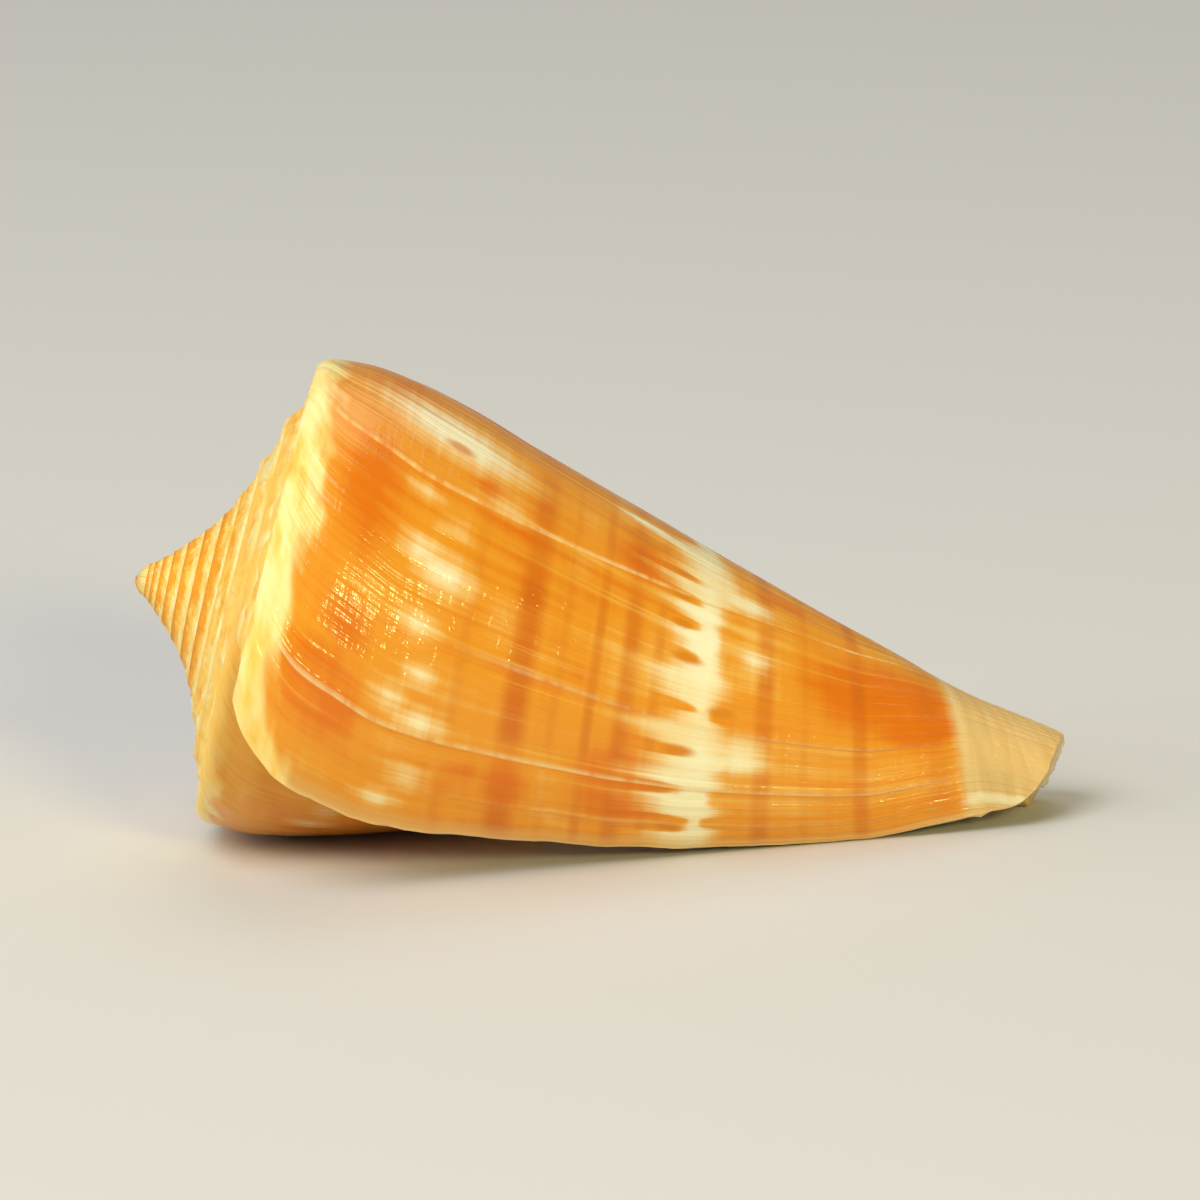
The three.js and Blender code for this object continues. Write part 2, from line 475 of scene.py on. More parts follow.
@dataclass
class GrowthChart:
    """The shell's surface as a welded net of places, which the growth rule then shapes."""

    rule: GrowthRule
    fine_step: float = 0.9375
    middle_step: float = 1.875
    coarse_step: float = 3.75
    body_rows: int = 132
    row_crowding: float = 0.35
    shoulder_drops: tuple[float, ...] = (-0.7, -0.5, -0.25, 0.0, 0.3, 0.6)
    crown_drops: tuple[float, ...] = (-1.02, -0.86, -0.7)
    last_ramp_steps: int = 12
    early_ramp_steps: int = 6
    roof_steps: int = 5
    cap_steps: int = 4
    tip_step: float = 15.0
    lip_swell: float = 0.28
    rim_jut: float = 0.22
    places: dict[Place, int] = field(default_factory=dict)
    faces: list[tuple[int, ...]] = field(default_factory=list)

    def vertex(self, **given: float) -> int:
        """The number of the point at a place, made once and shared after that.

        Args:
            given: the place, by its fields.

        Returns:
            The point's number.
        """
        place = Place(**given)
        key = Place(*(round(value, 5) for value in place))
        return self.places.setdefault(key, len(self.places))

    def face(self, *corners: int) -> None:
        """Adds a face without the corners that repeat, if three or more are left."""
        kept = tuple(dict.fromkeys(corners))
        if len(kept) > 2:
            self.faces.append(kept)

    def stitch(self, left: Line, right: Line) -> None:
        """Fills between two lines, keeping level with their parameters.

        Args:
            left: the line on the older side.
            right: the line on the newer side.
        """
        i = j = 0
        while i < len(left) - 1 or j < len(right) - 1:
            left_next = left[i + 1][0] if i < len(left) - 1 else math.inf
            right_next = right[j + 1][0] if j < len(right) - 1 else math.inf
            if left_next == right_next:
                self.face(left[i][1], right[j][1], right[j + 1][1], left[i + 1][1])
                i += 1
                j += 1
            elif left_next < right_next:
                self.face(left[i][1], right[j][1], left[i + 1][1])
                i += 1
            else:
                self.face(left[i][1], right[j][1], right[j + 1][1])
                j += 1

    def sheet(self, turns: Sequence[float], line: Callable[[float], Line]) -> None:
        """Fills a sheet of equal lines, one for each angle of growth.

        Args:
            turns: the angles.
            line: makes the line of an angle.
        """
        lines = [line(turn) for turn in turns]
        for left, right in zip(lines, lines[1:]):
            self.stitch(left, right)

    @staticmethod
    def turns(start: float, end: float, step: float) -> list[float]:
        """Evenly spaced angles from a start to an end, both included."""
        count = round((end - start) / step)
        return [start + (end - start) * i / count for i in range(count + 1)]

    def shares(self, every: int = 1) -> list[float]:
        """Rows from under the shoulder to the margin, closer together near both.

        Args:
            every: keeps one row in so many.

        Returns:
            The rows' shares of the way, from 0 to 1.
        """
        rows = []
        for row in range(0, self.body_rows + 1, every):
            turn = math.tau * row / self.body_rows
            rows.append((turn - self.row_crowding * math.sin(turn)) / math.tau)
        return rows

    def body_line(self, turn: float, every: int = 1, **more: float) -> Line:
        """The line of a growth stage from under the shoulder to the anterior margin.

        Args:
            turn: the stage's angle.
            every: keeps one row in so many.
            more: other fields of the places.

        Returns:
            The line.
        """
        drop = self.rule.roof_drop
        return [
            (BODY_LEVEL + share, self.vertex(turn=turn, drop=drop, share=share, **more))
            for share in self.shares(every)
        ]

    def shoulder_line(self, turn: float, drops: Iterable[float], **more: float) -> Line:
        """The line of a growth stage over the shoulder."""
        return [(drop, self.vertex(turn=turn, drop=drop, **more)) for drop in drops]

    @property
    def fine_angle(self) -> float:
        """Where the whorls that the last ramp leans on begin."""
        return self.rule.lip_angle - 2 * self.rule.whole_lag

    def ramp_points(self, turn: float, **more: float) -> Line:
        """The points of a growth stage between the older whorl and the shoulder.

        Args:
            turn: the stage's angle.
            more: other fields of the places.

        Returns:
            The points, as a line.
        """
        last = turn > self.rule.body_angle + self.fine_step / 2
        steps = self.last_ramp_steps if last else self.early_ramp_steps
        more |= {"drop": -self.rule.corner_drop, "seat": self.rule.suture_drop}
        return [
            (step / steps, self.vertex(turn=turn, ramp=step / steps, **more))
            for step in range(1, steps)
        ]

    def roof_points(self, turn: float) -> Line:
        """The points under the ramp, from the older whorl out to the wall.

        Args:
            turn: the stage's angle.

        Returns:
            The points, as a line.
        """
        steps = self.roof_steps
        drop = self.rule.roof_drop
        return [
            (
                step / steps,
                self.vertex(turn=turn, drop=drop, ramp=step / steps, seat=drop, depth=1.0),
            )
            for step in range(1, steps)
        ]

    def suture(self, turn: float) -> int:
        """The point of the older whorl that the ramp of a growth stage leans on."""
        return self.vertex(turn=turn - self.rule.whole_lag, drop=self.rule.suture_drop)

    def corner(self, turn: float, **more: float) -> int:
        """The point where the ramp of a growth stage rounds over into the shoulder."""
        return self.vertex(turn=turn, drop=-self.rule.corner_drop, **more)

    def crowns(self) -> None:
        """The rounded top of the shoulder, along every whorl."""
        rule = self.rule
        first = self.turns(rule.apex_angle, self.fine_angle, self.middle_step)
        last = self.turns(self.fine_angle, rule.lip_angle, self.fine_step)
        self.sheet(first + last[1:], lambda turn: self.shoulder_line(turn, self.crown_drops))

    def ramps(self) -> None:
        """The spire's ramps, each from the older whorl out to the shoulder."""
        rule = self.rule
        start = rule.apex_angle + rule.whole_lag
        bands = (
            (start, self.fine_angle, self.middle_step, self.middle_step),
            (self.fine_angle, rule.body_angle, self.fine_step, self.middle_step),
            (rule.body_angle, rule.lip_angle, self.fine_step, self.fine_step),
        )
        for low, high, step, older_step in bands:
            lines = {turn: self.ramp_points(turn) for turn in self.turns(low, high, step)}
            self.sheet(list(lines), lambda turn: [*lines[turn], (1.0, self.corner(turn))])
            older = [(turn, self.suture(turn)) for turn in self.turns(low, high, older_step)]
            self.stitch_along(older, [(turn, line[0][1]) for turn, line in lines.items()])

    def cap(self) -> None:
        """The rounded first whorl, closed over the apex."""
        rule = self.rule
        start = rule.apex_angle
        once = start + TURN

        def ring(turn: float) -> Line:
            """The line from the apex out to the corner.

            Args:
                turn: the stage's angle.

            Returns:
                The line.
            """
            shrinks = [step / self.cap_steps for step in range(1, self.cap_steps)]
            inner = [(s, self.corner(turn, shrink=s, cap=1.0)) for s in shrinks]
            apex = self.corner(start, shrink=0.0, cap=1.0)
            return [(0.0, apex), *inner, (1.0, self.corner(turn))]

        self.sheet(self.turns(start, once, self.middle_step), ring)
        self.stitch(ring(once), ring(start))
        end = start + rule.whole_lag
        outer = [(turn, self.corner(turn)) for turn in self.turns(once, end, self.middle_step)]
        crown = self.shoulder_line(start, self.crown_drops)
        ramp = [(q + 1.0, point) for q, point in self.ramp_points(end)]
        edge = [*crown, *ramp]
        low, high = edge[0][0], edge[-1][0]
        scaled = [(once + (end - once) * (q - low) / (high - low), point) for q, point in edge]
        self.stitch(outer, scaled)

    def body(self) -> None:
        """The outside of the last whorl, and the older whorl's side of the hollow."""
        rule = self.rule

        def whole(turn: float) -> Line:
            """The line from the suture to the margin."""
            return [*self.shoulder_line(turn, self.shoulder_drops[:-1]), *self.body_line(turn)]

        self.sheet(self.turns(rule.body_angle, rule.lip_angle, self.fine_step), whole)
        deep = rule.cavity_angle - rule.whole_lag
        older = self.turns(deep, rule.body_angle, self.coarse_step)
        self.sheet(older[:-1], lambda turn: self.body_line(turn, 2))
        self.stitch(self.body_line(older[-2], 2), self.body_line(older[-1]))

    def hollow(self) -> None:
        """The inside of the wall, the underside of the ramp and the hollow's deep end."""
        rule = self.rule
        stages = self.turns(rule.cavity_angle, rule.lip_angle, self.coarse_step)

        def upward(line: Line) -> Line:
            """The same line, taken from the margin up."""
            return [(-param, point) for param, point in reversed(line)]

        def under(turn: float) -> Line:
            """The roof line, from the wall in to the older whorl.

            Args:
                turn: the stage's angle.

            Returns:
                The line.
            """
            seat = self.vertex(turn=turn - rule.whole_lag, drop=rule.roof_drop)
            wall = self.vertex(turn=turn, drop=rule.roof_drop, depth=1.0)
            return upward([(0.0, seat), *self.roof_points(turn), (1.0, wall)])

        self.sheet(stages, lambda turn: upward(self.body_line(turn, 2, depth=1.0)))
        self.sheet(stages, under)
        wall = self.body_line(rule.cavity_angle, 2, depth=1.0)
        older = self.body_line(rule.cavity_angle - rule.whole_lag, 2)
        self.stitch(wall, older)
        roof = [point for _, point in under(rule.cavity_angle)]
        for near, far in zip(roof[:-1], roof[1:-1]):
            self.face(older[0][1], near, far)

    def lip(self) -> None:
        """The rounded edge of the lip, from the suture down to the anterior corner."""
        rule = self.rule
        turn = rule.lip_angle
        edge = {"depth": 0.5, "swell": self.lip_swell}
        crown_and_shoulder = (*self.crown_drops, *self.shoulder_drops[1:-1])

        def outside(**more: float) -> Line:
            """The line on the outside of the edge, or along its crest.

            Args:
                more: other fields of the places.

            Returns:
                The line.
            """
            shoulder = self.shoulder_line(turn, crown_and_shoulder, **more)
            level = [
                (SHOULDER_LEVEL + (drop + rule.corner_drop) / SHOULDER_REACH, point)
                for drop, point in shoulder
            ]
            return [*self.ramp_points(turn, **more), *level, *self.body_line(turn, **more)]

        start = (0.0, self.suture(turn))
        outer = [start, *outside()]
        crest = [start, *outside(**edge)]
        corner = self.vertex(
            turn=turn, drop=rule.roof_drop, share=1.0, depth=0.5,
            swell=self.lip_swell, jut=self.rim_jut,
        )
        crest[-1] = (crest[-1][0], corner)
        self.stitch(outer, crest)
        older = self.shoulder_line(turn - rule.whole_lag, self.shoulder_drops[1:])
        seat = [(SEAT_STEP * i, point) for i, (_, point) in enumerate(older, 1)]
        inner = [*seat, *self.roof_points(turn), *self.body_line(turn, 2, depth=1.0)]
        self.stitch(crest, inner)

    def anterior(self) -> None:
        """The rim of the anterior end and the closed tip of the columella."""
        rule = self.rule
        drop = rule.roof_drop
        corner = {"depth": 0.5, "jut": self.rim_jut}

        def margin(turn: float, **more: float) -> int:
            """The point of a growth stage on the anterior margin."""
            return self.vertex(turn=turn, drop=drop, share=1.0, **more)

        fine = self.turns(rule.cavity_angle, rule.lip_angle, self.fine_step)
        coarse = self.turns(rule.cavity_angle, rule.lip_angle, self.coarse_step)
        outer = [(turn, margin(turn)) for turn in fine]
        crest = [(turn, margin(turn, **corner)) for turn in fine]
        crest[0] = outer[0]
        crest[-1] = (crest[-1][0], margin(rule.lip_angle, **corner, swell=self.lip_swell))
        inner = [(turn, margin(turn, depth=1.0)) for turn in coarse]
        self.stitch_along(outer, crest)
        self.stitch_along(crest, inner)

        start = rule.cavity_angle - rule.whole_lag
        overlap = rule.cavity_angle - rule.suture_lag
        older = self.turns(start, rule.body_angle, self.coarse_step)
        newer = self.turns(rule.body_angle, rule.cavity_angle, self.fine_step)
        rim = [(turn, margin(turn)) for turn in older + newer[1:]]
        closing = (start + TURN, margin(start))
        rounds = [(turn, point) for turn, point in rim if turn < overlap - NEAR] + [closing]
        ring_turns = self.turns(start, start + TURN, self.tip_step)
        ring = [(turn, margin(turn, shrink=0.5)) for turn in ring_turns[:-1]]
        ring.append((ring_turns[-1], ring[0][1]))
        self.stitch_along(rounds, ring)
        centre = margin(start, shrink=0.0)
        for (_, near), (_, far) in zip(ring, ring[1:]):
            self.face(centre, near, far)
        tail = [point for turn, point in rim if turn > overlap - self.fine_step - NEAR]
        tail.append(margin(rule.cavity_angle, depth=1.0))
        for near, far in zip(tail, tail[1:]):
            self.face(closing[1], near, far)

    def stitch_along(self, outer: Line, inner: Line) -> None:
        """Fills between two lines that run in the direction of growth.

        Args:
            outer: the line nearer the shoulder.
            inner: the line further on.
        """
        self.stitch([(-p, v) for p, v in reversed(outer)], [(-p, v) for p, v in reversed(inner)])

    def fill(self) -> None:
        """Nets the whole surface."""
        self.crowns()
        self.ramps()
        self.cap()
        self.body()
        self.hollow()
        self.lip()
        self.anterior()

    def mesh(self) -> bpy.types.Mesh:
        """The net as a mesh whose points carry their places as attributes.

        Returns:
            The mesh, not yet shaped.
        """
        self.fill()
        used = sorted({point for face in self.faces for point in face})
        number = {point: i for i, point in enumerate(used)}
        table = np.array(list(self.places), dtype=np.float32)[used]
        faces = [[number[point] for point in face] for face in self.faces]
        made = bpy.data.meshes.new("growth_chart")
        made.from_pydata((table[:, :3] * MM).tolist(), [], faces)
        for column, name in enumerate(Place._fields):
            layer = made.attributes.new(name, "FLOAT", "POINT")
            layer.data.foreach_set("value", np.ascontiguousarray(table[:, column]))
        return made


# ---------------------------------------------------------------- the shape


SCAR_DRIFT = Span(4.0, 44.0)
SCAR_END = Span(42.0, 36.0)
SCAR_FADE = 3.0


@dataclass(frozen=True)
class Scar:
    """A break in growth, where the newer shell starts a little lower than the older.

    turn: its angle at the shoulder.
    drift: how far its angle moves by the anterior end.
    step: the height of the step, in millimetres.
    pale: how pale its rim is, from 0 to 1.
    start: how far below the shoulder it first shows, in millimetres.
    """

    turn: float
    drift: float
    step: float
    pale: float
    start: float

    def ahead(self, turn: Field, along: Field) -> Field:
        """How many degrees newer than the break a place is."""
        return turn - self.turn - SCAR_DRIFT.read(along) * self.drift

    def shown(self, along: Field) -> Field:
        """How fully the break shows at a distance below the shoulder."""
        start = Span(self.start - SCAR_FADE, self.start + SCAR_FADE)
        return start.read(along) * SCAR_END.read(along)


SCARS = (
    Scar(-226.0, 6.0, 0.08, 0.4, 6.0),
    Scar(-171.0, -5.0, 0.05, 0.3, 12.0),
    Scar(-108.0, 3.0, 0.08, 0.6, 0.0),
    Scar(-47.0, -8.0, 0.06, 0.4, 4.0),
    Scar(37.5, -17.0, 0.05, 0.8, 0.0),
    Scar(72.5, 1.5, 0.08, 0.4, 12.0),
    Scar(94.5, 0.0, 0.07, 0.8, -2.0),
    Scar(107.0, 2.0, 0.03, 0.2, 10.0),
)


@dataclass(frozen=True)
class Relief:
    """Heights of the surface's small forms on a whorl of size 1, in millimetres."""

    growth_line: float = 0.05
    growth_fold: float = 0.10
    unevenness: float = 0.12
    base_cord: float = 0.012
    base_cord_spacing: float = 0.95
    ramp_cord: float = 0.14
    ramp_cords: float = 3.0
    ramp_fold: float = 0.85
    early_hollow: float = -0.02
    shoulder_knot: float = 0.50
    lip_wave: float = 1.3
    margin_wave: float = 0.25
    seed: float = 11.0
    line_grain: Grain = Grain(0.34, 0.035, 0.0)
    fold_grain: Grain = Grain(0.085, 0.045, 7.0, 2.0)
    wave_grain: Grain = Grain(0.022, 0.10, 19.0, 1.0)
    knot_grain: Grain = Grain(0.05, 0.0, 31.0, 2.0)
    ramp_grain: Grain = Grain(0.11, 1.6, 3.0)
    lip_wave_fineness: float = 0.42
    lip_wave_seed: float = 43.0
    margin_wave_fineness: float = 0.07
    margin_wave_seed: float = 57.0
    cords: Span = Span(37.0, 46.0)
    knots: Span = Span(3.5, 0.0)
    knot_level: float = 0.3
    lip_waves: Span = Span(84.0, 118.0)
    scar_step: Span = Span(-0.6, 0.9)
    scar_heals: float = 9.0
    scar_lip: Span = Span(-5.0, 0.0)
    scar_lip_end: Span = Span(0.6, -0.3)
    scar_lip_height: float = 0.35
    cord_sway: float = 4.0
    ramp_cord_sway: float = 0.9
    ramp_bend: float = 9.0
    ramp_scale: float = 16.0
    early_reach: float = 4.0
    ramp_end: float = 0.999
    arch_slope: float = 1.6
    cap_dome: float = 0.55
    cap_roundness: float = 2.2


class Spot(NamedTuple):
    """A place in round coordinates about the coiling axis."""

    station: Field
    radius: Field
    angle: Field

    def toward(self, other: "Spot", share: Field) -> "Spot":
        """The spot a share of the way to another."""
        return Spot(*(a + (b - a) * share for a, b in zip(self, other)))


class GrowthShape:
    """The node tree that grows the chart of places into the shell's form."""

    def __init__(self, rule: GrowthRule, relief: Relief, roll: float, dip: float) -> None:
        """Builds the tree.

        Args:
            rule: the growth rule.
            relief: the small forms.
            roll: how far the shell is rolled about its axis to lie at rest, in degrees.
            dip: how far its apex is raised, in degrees.
        """
        self.rule = rule
        self.fine = relief
        self.values = {
            "Whorl expansion": rule.whorl_expansion,
            "Corner radius": rule.corner_radius,
            "Spire slope": rule.spire_slope,
            "Spire rise": rule.spire_rise,
            "Shoulder lean": rule.shoulder_lean,
            "Wall": rule.wall,
            "Lip wall": rule.lip_wall,
            "Ramp hollow": rule.ramp_hollow,
            "Growth line": relief.growth_line,
            "Growth fold": relief.growth_fold,
            "Unevenness": relief.unevenness,
            "Base cord": relief.base_cord,
            "Base cord spacing": relief.base_cord_spacing,
            "Ramp cord": relief.ramp_cord,
            "Ramp cords": relief.ramp_cords,
            "Ramp fold": relief.ramp_fold,
            "Early hollow": relief.early_hollow,
            "Shoulder knot": relief.shoulder_knot,
            "Lip wave": relief.lip_wave,
            "Margin wave": relief.margin_wave,
            "Seed": relief.seed,
            "Roll": math.radians(roll),
            "Dip": math.radians(dip),
        }
        self.group = bpy.data.node_groups.new("Shell growth", "GeometryNodeTree")
        self.sockets = {}
        self.add_input("Geometry", "NodeSocketGeometry")
        self.add_input("Finish", "NodeSocketMaterial")
        for name in self.values:
            self.add_input(name, "NodeSocketFloat")
        self.group.interface.new_socket(
            "Geometry", in_out="OUTPUT", socket_type="NodeSocketGeometry"
        )
        self.tree = Tree(self.group)
        given = self.tree.node("NodeGroupInput")
        self.given = {name: Field(self.tree, given.outputs[name]) for name in self.sockets}
        self.build()

    def add_input(self, name: str, kind: str) -> None:
        """Adds a named input to the tree.

        Args:
            name: the input's name.
            kind: Blender's type name of its socket.
        """
        self.sockets[name] = self.group.interface.new_socket(
            name, in_out="INPUT", socket_type=kind
        )

    def attribute(self, name: str) -> Field:
        """Reads one of the chart's values.

        Args:
            name: the value's name.

        Returns:
            The value.
        """
        made = self.tree.node("GeometryNodeInputNamedAttribute", data_type="FLOAT")
        made.inputs["Name"].default_value = name
        return Field(self.tree, made.outputs["Attribute"])

    def size(self, angle: Field) -> Field:
        """The size of the whorl at an angle, which is 1 on top of the last whorl."""
        return self.given["Whorl expansion"] ** (angle / TURN)

    def shoulder(self, size: Field) -> Field:
        """Distance from the apex to the shoulder of a whorl of a given size.

        Args:
            size: the whorl's size.

        Returns:
            The distance, in millimetres.
        """
        given, blend = self.given, self.rule.slope_blend
        radius = given["Corner radius"] * size
        late = given["Spire rise"] + given["Spire slope"] * radius
        rise = (radius**-blend + late**-blend) ** (-1 / blend)
        return rise + self.rule.corner_drop * size

    def radius(self, size: Field, drop: Field) -> Field:
        """Radius of the smooth outer surface, which never closes onto the axis.

        Args:
            size: the whorl's size.
            drop: distance below the shoulder, in a whorl of size 1.

        Returns:
            The radius, in millimetres.
        """
        tree, rule = self.tree, self.rule
        gap = size * tree.outline(drop, rule.body_outline) - rule.columella_radius
        blend = rule.columella_blend
        rounding = (gap * gap + blend**2) ** 0.5 - blend
        return (gap + rounding) * 0.5 + rule.columella_radius

    def relief(self, turn: Field, drop: Field) -> Field:
        """How far the small forms stand out from the smooth surface.

        Args:
            turn: angle of growth.
            drop: distance below the shoulder, in a whorl of size 1.

        Returns:
            The height, on a whorl of size 1.
        """
        tree, given, fine = self.tree, self.given, self.fine
        seed = given["Seed"]
        line = fine.line_grain.read(turn, drop, seed)
        fold = fine.fold_grain.read(turn, drop, seed)
        wave = fine.wave_grain.read(turn, drop, seed)
        height = line * given["Growth line"] + fold * given["Growth fold"]
        height = height + wave * given["Unevenness"]
        sway = drop * math.tau / given["Base cord spacing"] + fold * fine.cord_sway
        height = height + tree.math("SINE", sway) * given["Base cord"] * fine.cords.read(drop)
        knot = fine.knot_grain.read(turn, drop, seed) - fine.knot_level
        height = height + knot * fine.knots.read(drop) * given["Shoulder knot"]
        for scar in SCARS:
            ahead = scar.ahead(turn, drop)
            healing = math.e ** (tree.math("MAXIMUM", ahead, 0.0) / -fine.scar_heals)
            step = fine.scar_step.read(ahead) * healing
            lip = fine.scar_lip.read(ahead) * fine.scar_lip_end.read(ahead)
            step = lip * fine.scar_lip_height - step
            height = height + step * scar.shown(drop) * scar.step
        return height

    def outer(self, turn: Field, drop: Field) -> Spot:
        """A place on the outer surface.

        Args:
            turn: angle of growth.
            drop: distance below the shoulder, in a whorl of size 1.

        Returns:
            The place.
        """
        tree, given, fine = self.tree, self.given, self.fine
        wave = tree.vector(drop * fine.lip_wave_fineness, given["Seed"] + fine.lip_wave_seed)
        wave = tree.noise(wave) * given["Lip wave"] * fine.lip_waves.read(turn)
        angle = turn + tree.outline(drop, self.rule.lip_outline) + wave
        size = self.size(angle)
        radius = self.radius(size, drop) + self.relief(turn, drop) * size
        return Spot(self.shoulder(size) + size * drop, radius, angle)

    def along(self, turn: Field, drop: Field, share: Field) -> tuple[Field, Field]:
        """The drop of a row of the chart, and the station of the anterior margin there.

        Args:
            turn: angle of growth.
            drop: the row's drop under the shoulder.
            share: how far on it is towards the margin.

        Returns:
            The drop and the station.
        """
        tree, given, fine = self.tree, self.given, self.fine
        size = self.size(turn)
        place = turn * fine.margin_wave_fineness
        wave = tree.noise(tree.vector(place, given["Seed"] + fine.margin_wave_seed))
        margin = tree.outline(turn, self.rule.margin_outline)
        margin = margin + (wave - 0.5) * given["Margin wave"]
        end = (margin - self.shoulder(size)) / size
        return drop + (end - drop) * share, margin

    def inner(self, turn: Field, spot: Spot, margin: Field) -> Spot:
        """The place inside the wall that lies under a place on its outer surface.

        Args:
            turn: angle of growth.
            spot: the place outside.
            margin: the station of the anterior margin there.

        Returns:
            The place inside.
        """
        tree, rule, given = self.tree, self.rule, self.given
        sunk = ((margin - spot.station) / margin) ** rule.roof_fall * rule.wall
        level = spot.station + sunk
        size = self.size(spot.angle)
        wall = self.radius(size, (level - self.shoulder(size)) / size)
        older_size = self.size(spot.angle - TURN)
        older = self.radius(older_size, (level - self.shoulder(older_size)) / older_size)
        behind = rule.lip_angle - turn
        thickness = tree.ramp(behind, 0.0, rule.lip_bevel_sweep, given["Lip wall"], given["Wall"])
        ahead = turn - rule.cavity_angle
        openness = tree.ramp(ahead, 0.0, rule.cavity_taper_sweep, rule.cavity_end, 1.0)
        return Spot(level, older + (wall - thickness - older) * openness, spot.angle)

    def leaned(self, spot: Spot, newer_turn: Field, seat: Field, ramp: Field) -> Spot:
        """A place on the ramp, between the older whorl and the newer.

        Args:
            spot: the place on the newer whorl's corner.
            newer_turn: angle of growth of the ramp.
            seat: the drop on the older whorl that it leans on.
            ramp: how far out on the ramp.

        Returns:
            The place.
        """
        tree, given, fine = self.tree, self.given, self.fine
        older = self.outer(newer_turn - self.rule.whole_lag, seat)
        older = Spot(older.station, older.radius, older.angle + TURN)
        middle = older.toward(spot, ramp)
        arch = ramp * (1.0 - ramp) * 4.0
        fold = fine.ramp_grain.read(newer_turn + arch * fine.ramp_bend, ramp, given["Seed"])
        sway = ramp * given["Ramp cords"] * math.tau + fold * fine.ramp_cord_sway
        rise = tree.math("COSINE", sway) * given["Ramp cord"] + fold * given["Ramp fold"]
        held = tree.math("MINIMUM", arch * fine.arch_slope, 1.0)
        rise = rise * held * (middle.radius / fine.ramp_scale)
        early = given["Early hollow"] * (math.e ** (middle.radius / -fine.early_reach))
        hollow = (given["Ramp hollow"] + early) * middle.radius * arch
        return Spot(middle.station + hollow - rise, middle.radius, middle.angle)

    def build(self) -> None:
        """Wires the whole tree."""
        tree, rule, given, fine = self.tree, self.rule, self.given, self.fine
        chart = {name: self.attribute(name) for name in Place._fields}
        turn, ramp, depth = chart["turn"], chart["ramp"], chart["depth"]
        drop, margin = self.along(turn, chart["drop"], chart["share"])
        outside = self.outer(turn, drop)
        inside = self.inner(turn, outside, margin)
        spot = outside.toward(inside, depth)
        on_ramp = tree.math("LESS_THAN", ramp, fine.ramp_end)
        spot = spot.toward(self.leaned(spot, turn, chart["seat"], ramp), on_ramp)
        radius = spot.radius * chart["shrink"]
        dome = chart["cap"] * (1.0 - chart["shrink"] ** fine.cap_roundness)
        dome = dome * fine.cap_dome * spot.radius
        station = spot.station + chart["jut"] - dome
        angle = (spot.angle + chart["swell"] / spot.radius * math.degrees(1)) * math.radians(1)
        height = radius * tree.math("COSINE", angle)
        side = radius * tree.math("SINE", angle) * -1.0
        lean = tree.ramp(station, rule.lean_from, rule.lean_to, given["Shoulder lean"], 0.0)
        position = tree.vector((station + lean * height) * MM, side * MM, height * MM)
        placed = tree.wire(
            "GeometryNodeSetPosition", {"Geometry": given["Geometry"], "Position": position}
        )
        geometry = Field(tree, placed.outputs[0])
        kept = tree.wire(
            "GeometryNodeStoreNamedAttribute",
            {"Geometry": geometry, "Name": "along", "Value": drop},
            data_type="FLOAT",
            domain="POINT",
        )
        self.finish(self.lay_down(Field(tree, kept.outputs[0])))

    def lay_down(self, geometry: Field) -> Field:
        """Rolls and dips the shell to its rest, and sets it on the ground.

        Args:
            geometry: the grown shell.

        Returns:
            The shell at rest.
        """
        tree, given = self.tree, self.given
        turned = tree.wire(
            "GeometryNodeTransform",
            {"Geometry": geometry, "Rotation": tree.vector(given["Roll"], given["Dip"], 0.0)},
        )
        turned = Field(tree, turned.outputs[0])
        box = tree.wire("GeometryNodeBoundBox", {"Geometry": turned})
        low = tree.parts(Field(tree, box.outputs["Min"]))
        high = tree.parts(Field(tree, box.outputs["Max"]))
        shift = tree.vector((low[0] + high[0]) * -0.5, (low[1] + high[1]) * -0.5, low[2] * -1.0)
        set_down = tree.wire("GeometryNodeTransform", {"Geometry": turned, "Translation": shift})
        return Field(tree, set_down.outputs[0])

    def finish(self, geometry: Field) -> None:
        """Ends the tree with plain geometry that wears its finish.

        Args:
            geometry: the shell at rest.
        """
        tree = self.tree
        real = tree.wire("GeometryNodeRealizeInstances", {"Geometry": geometry})
        real = Field(tree, real.outputs[0])
        dressed = tree.wire(
            "GeometryNodeSetMaterial", {"Geometry": real, "Material": self.given["Finish"]}
        )
        end = tree.node("NodeGroupOutput")
        tree.feed(end.inputs["Geometry"], Field(tree, dressed.outputs[0]))

    def grow(self, chart: bpy.types.Mesh, finish: bpy.types.Material) -> bpy.types.Mesh:
        """Grows a chart into a plain mesh.

        Args:
            chart: the net of places.
            finish: the material it wears.

        Returns:
            The grown mesh.
        """
        seedling = bpy.data.objects.new("seedling", chart)
        bpy.context.scene.collection.objects.link(seedling)
        growth = seedling.modifiers.new("Growth", "NODES")
        growth.node_group = self.group
        growth[self.sockets["Finish"].identifier] = finish
        for name, value in self.values.items():
            growth[self.sockets[name].identifier] = value
        graph = bpy.context.evaluated_depsgraph_get()
        grown = bpy.data.meshes.new_from_object(seedling.evaluated_get(graph))
        seedling.modifiers.remove(growth)
        bpy.data.objects.remove(seedling)
        return grown


# ---------------------------------------------------------------- the markings


class Blotch(NamedTuple):
    """A rounded patch of colour, by the growth that laid it down.

    turn: angle of its middle, in degrees.
    along: distance of its middle below the shoulder, in millimetres.
    sweep: half its reach along the whorl, in degrees.
    height: half its reach towards the anterior end, in millimetres.
    strength: how strongly it shows in its middle.
    """

    turn: float
    along: float
    sweep: float
    height: float
    strength: float = 1.0


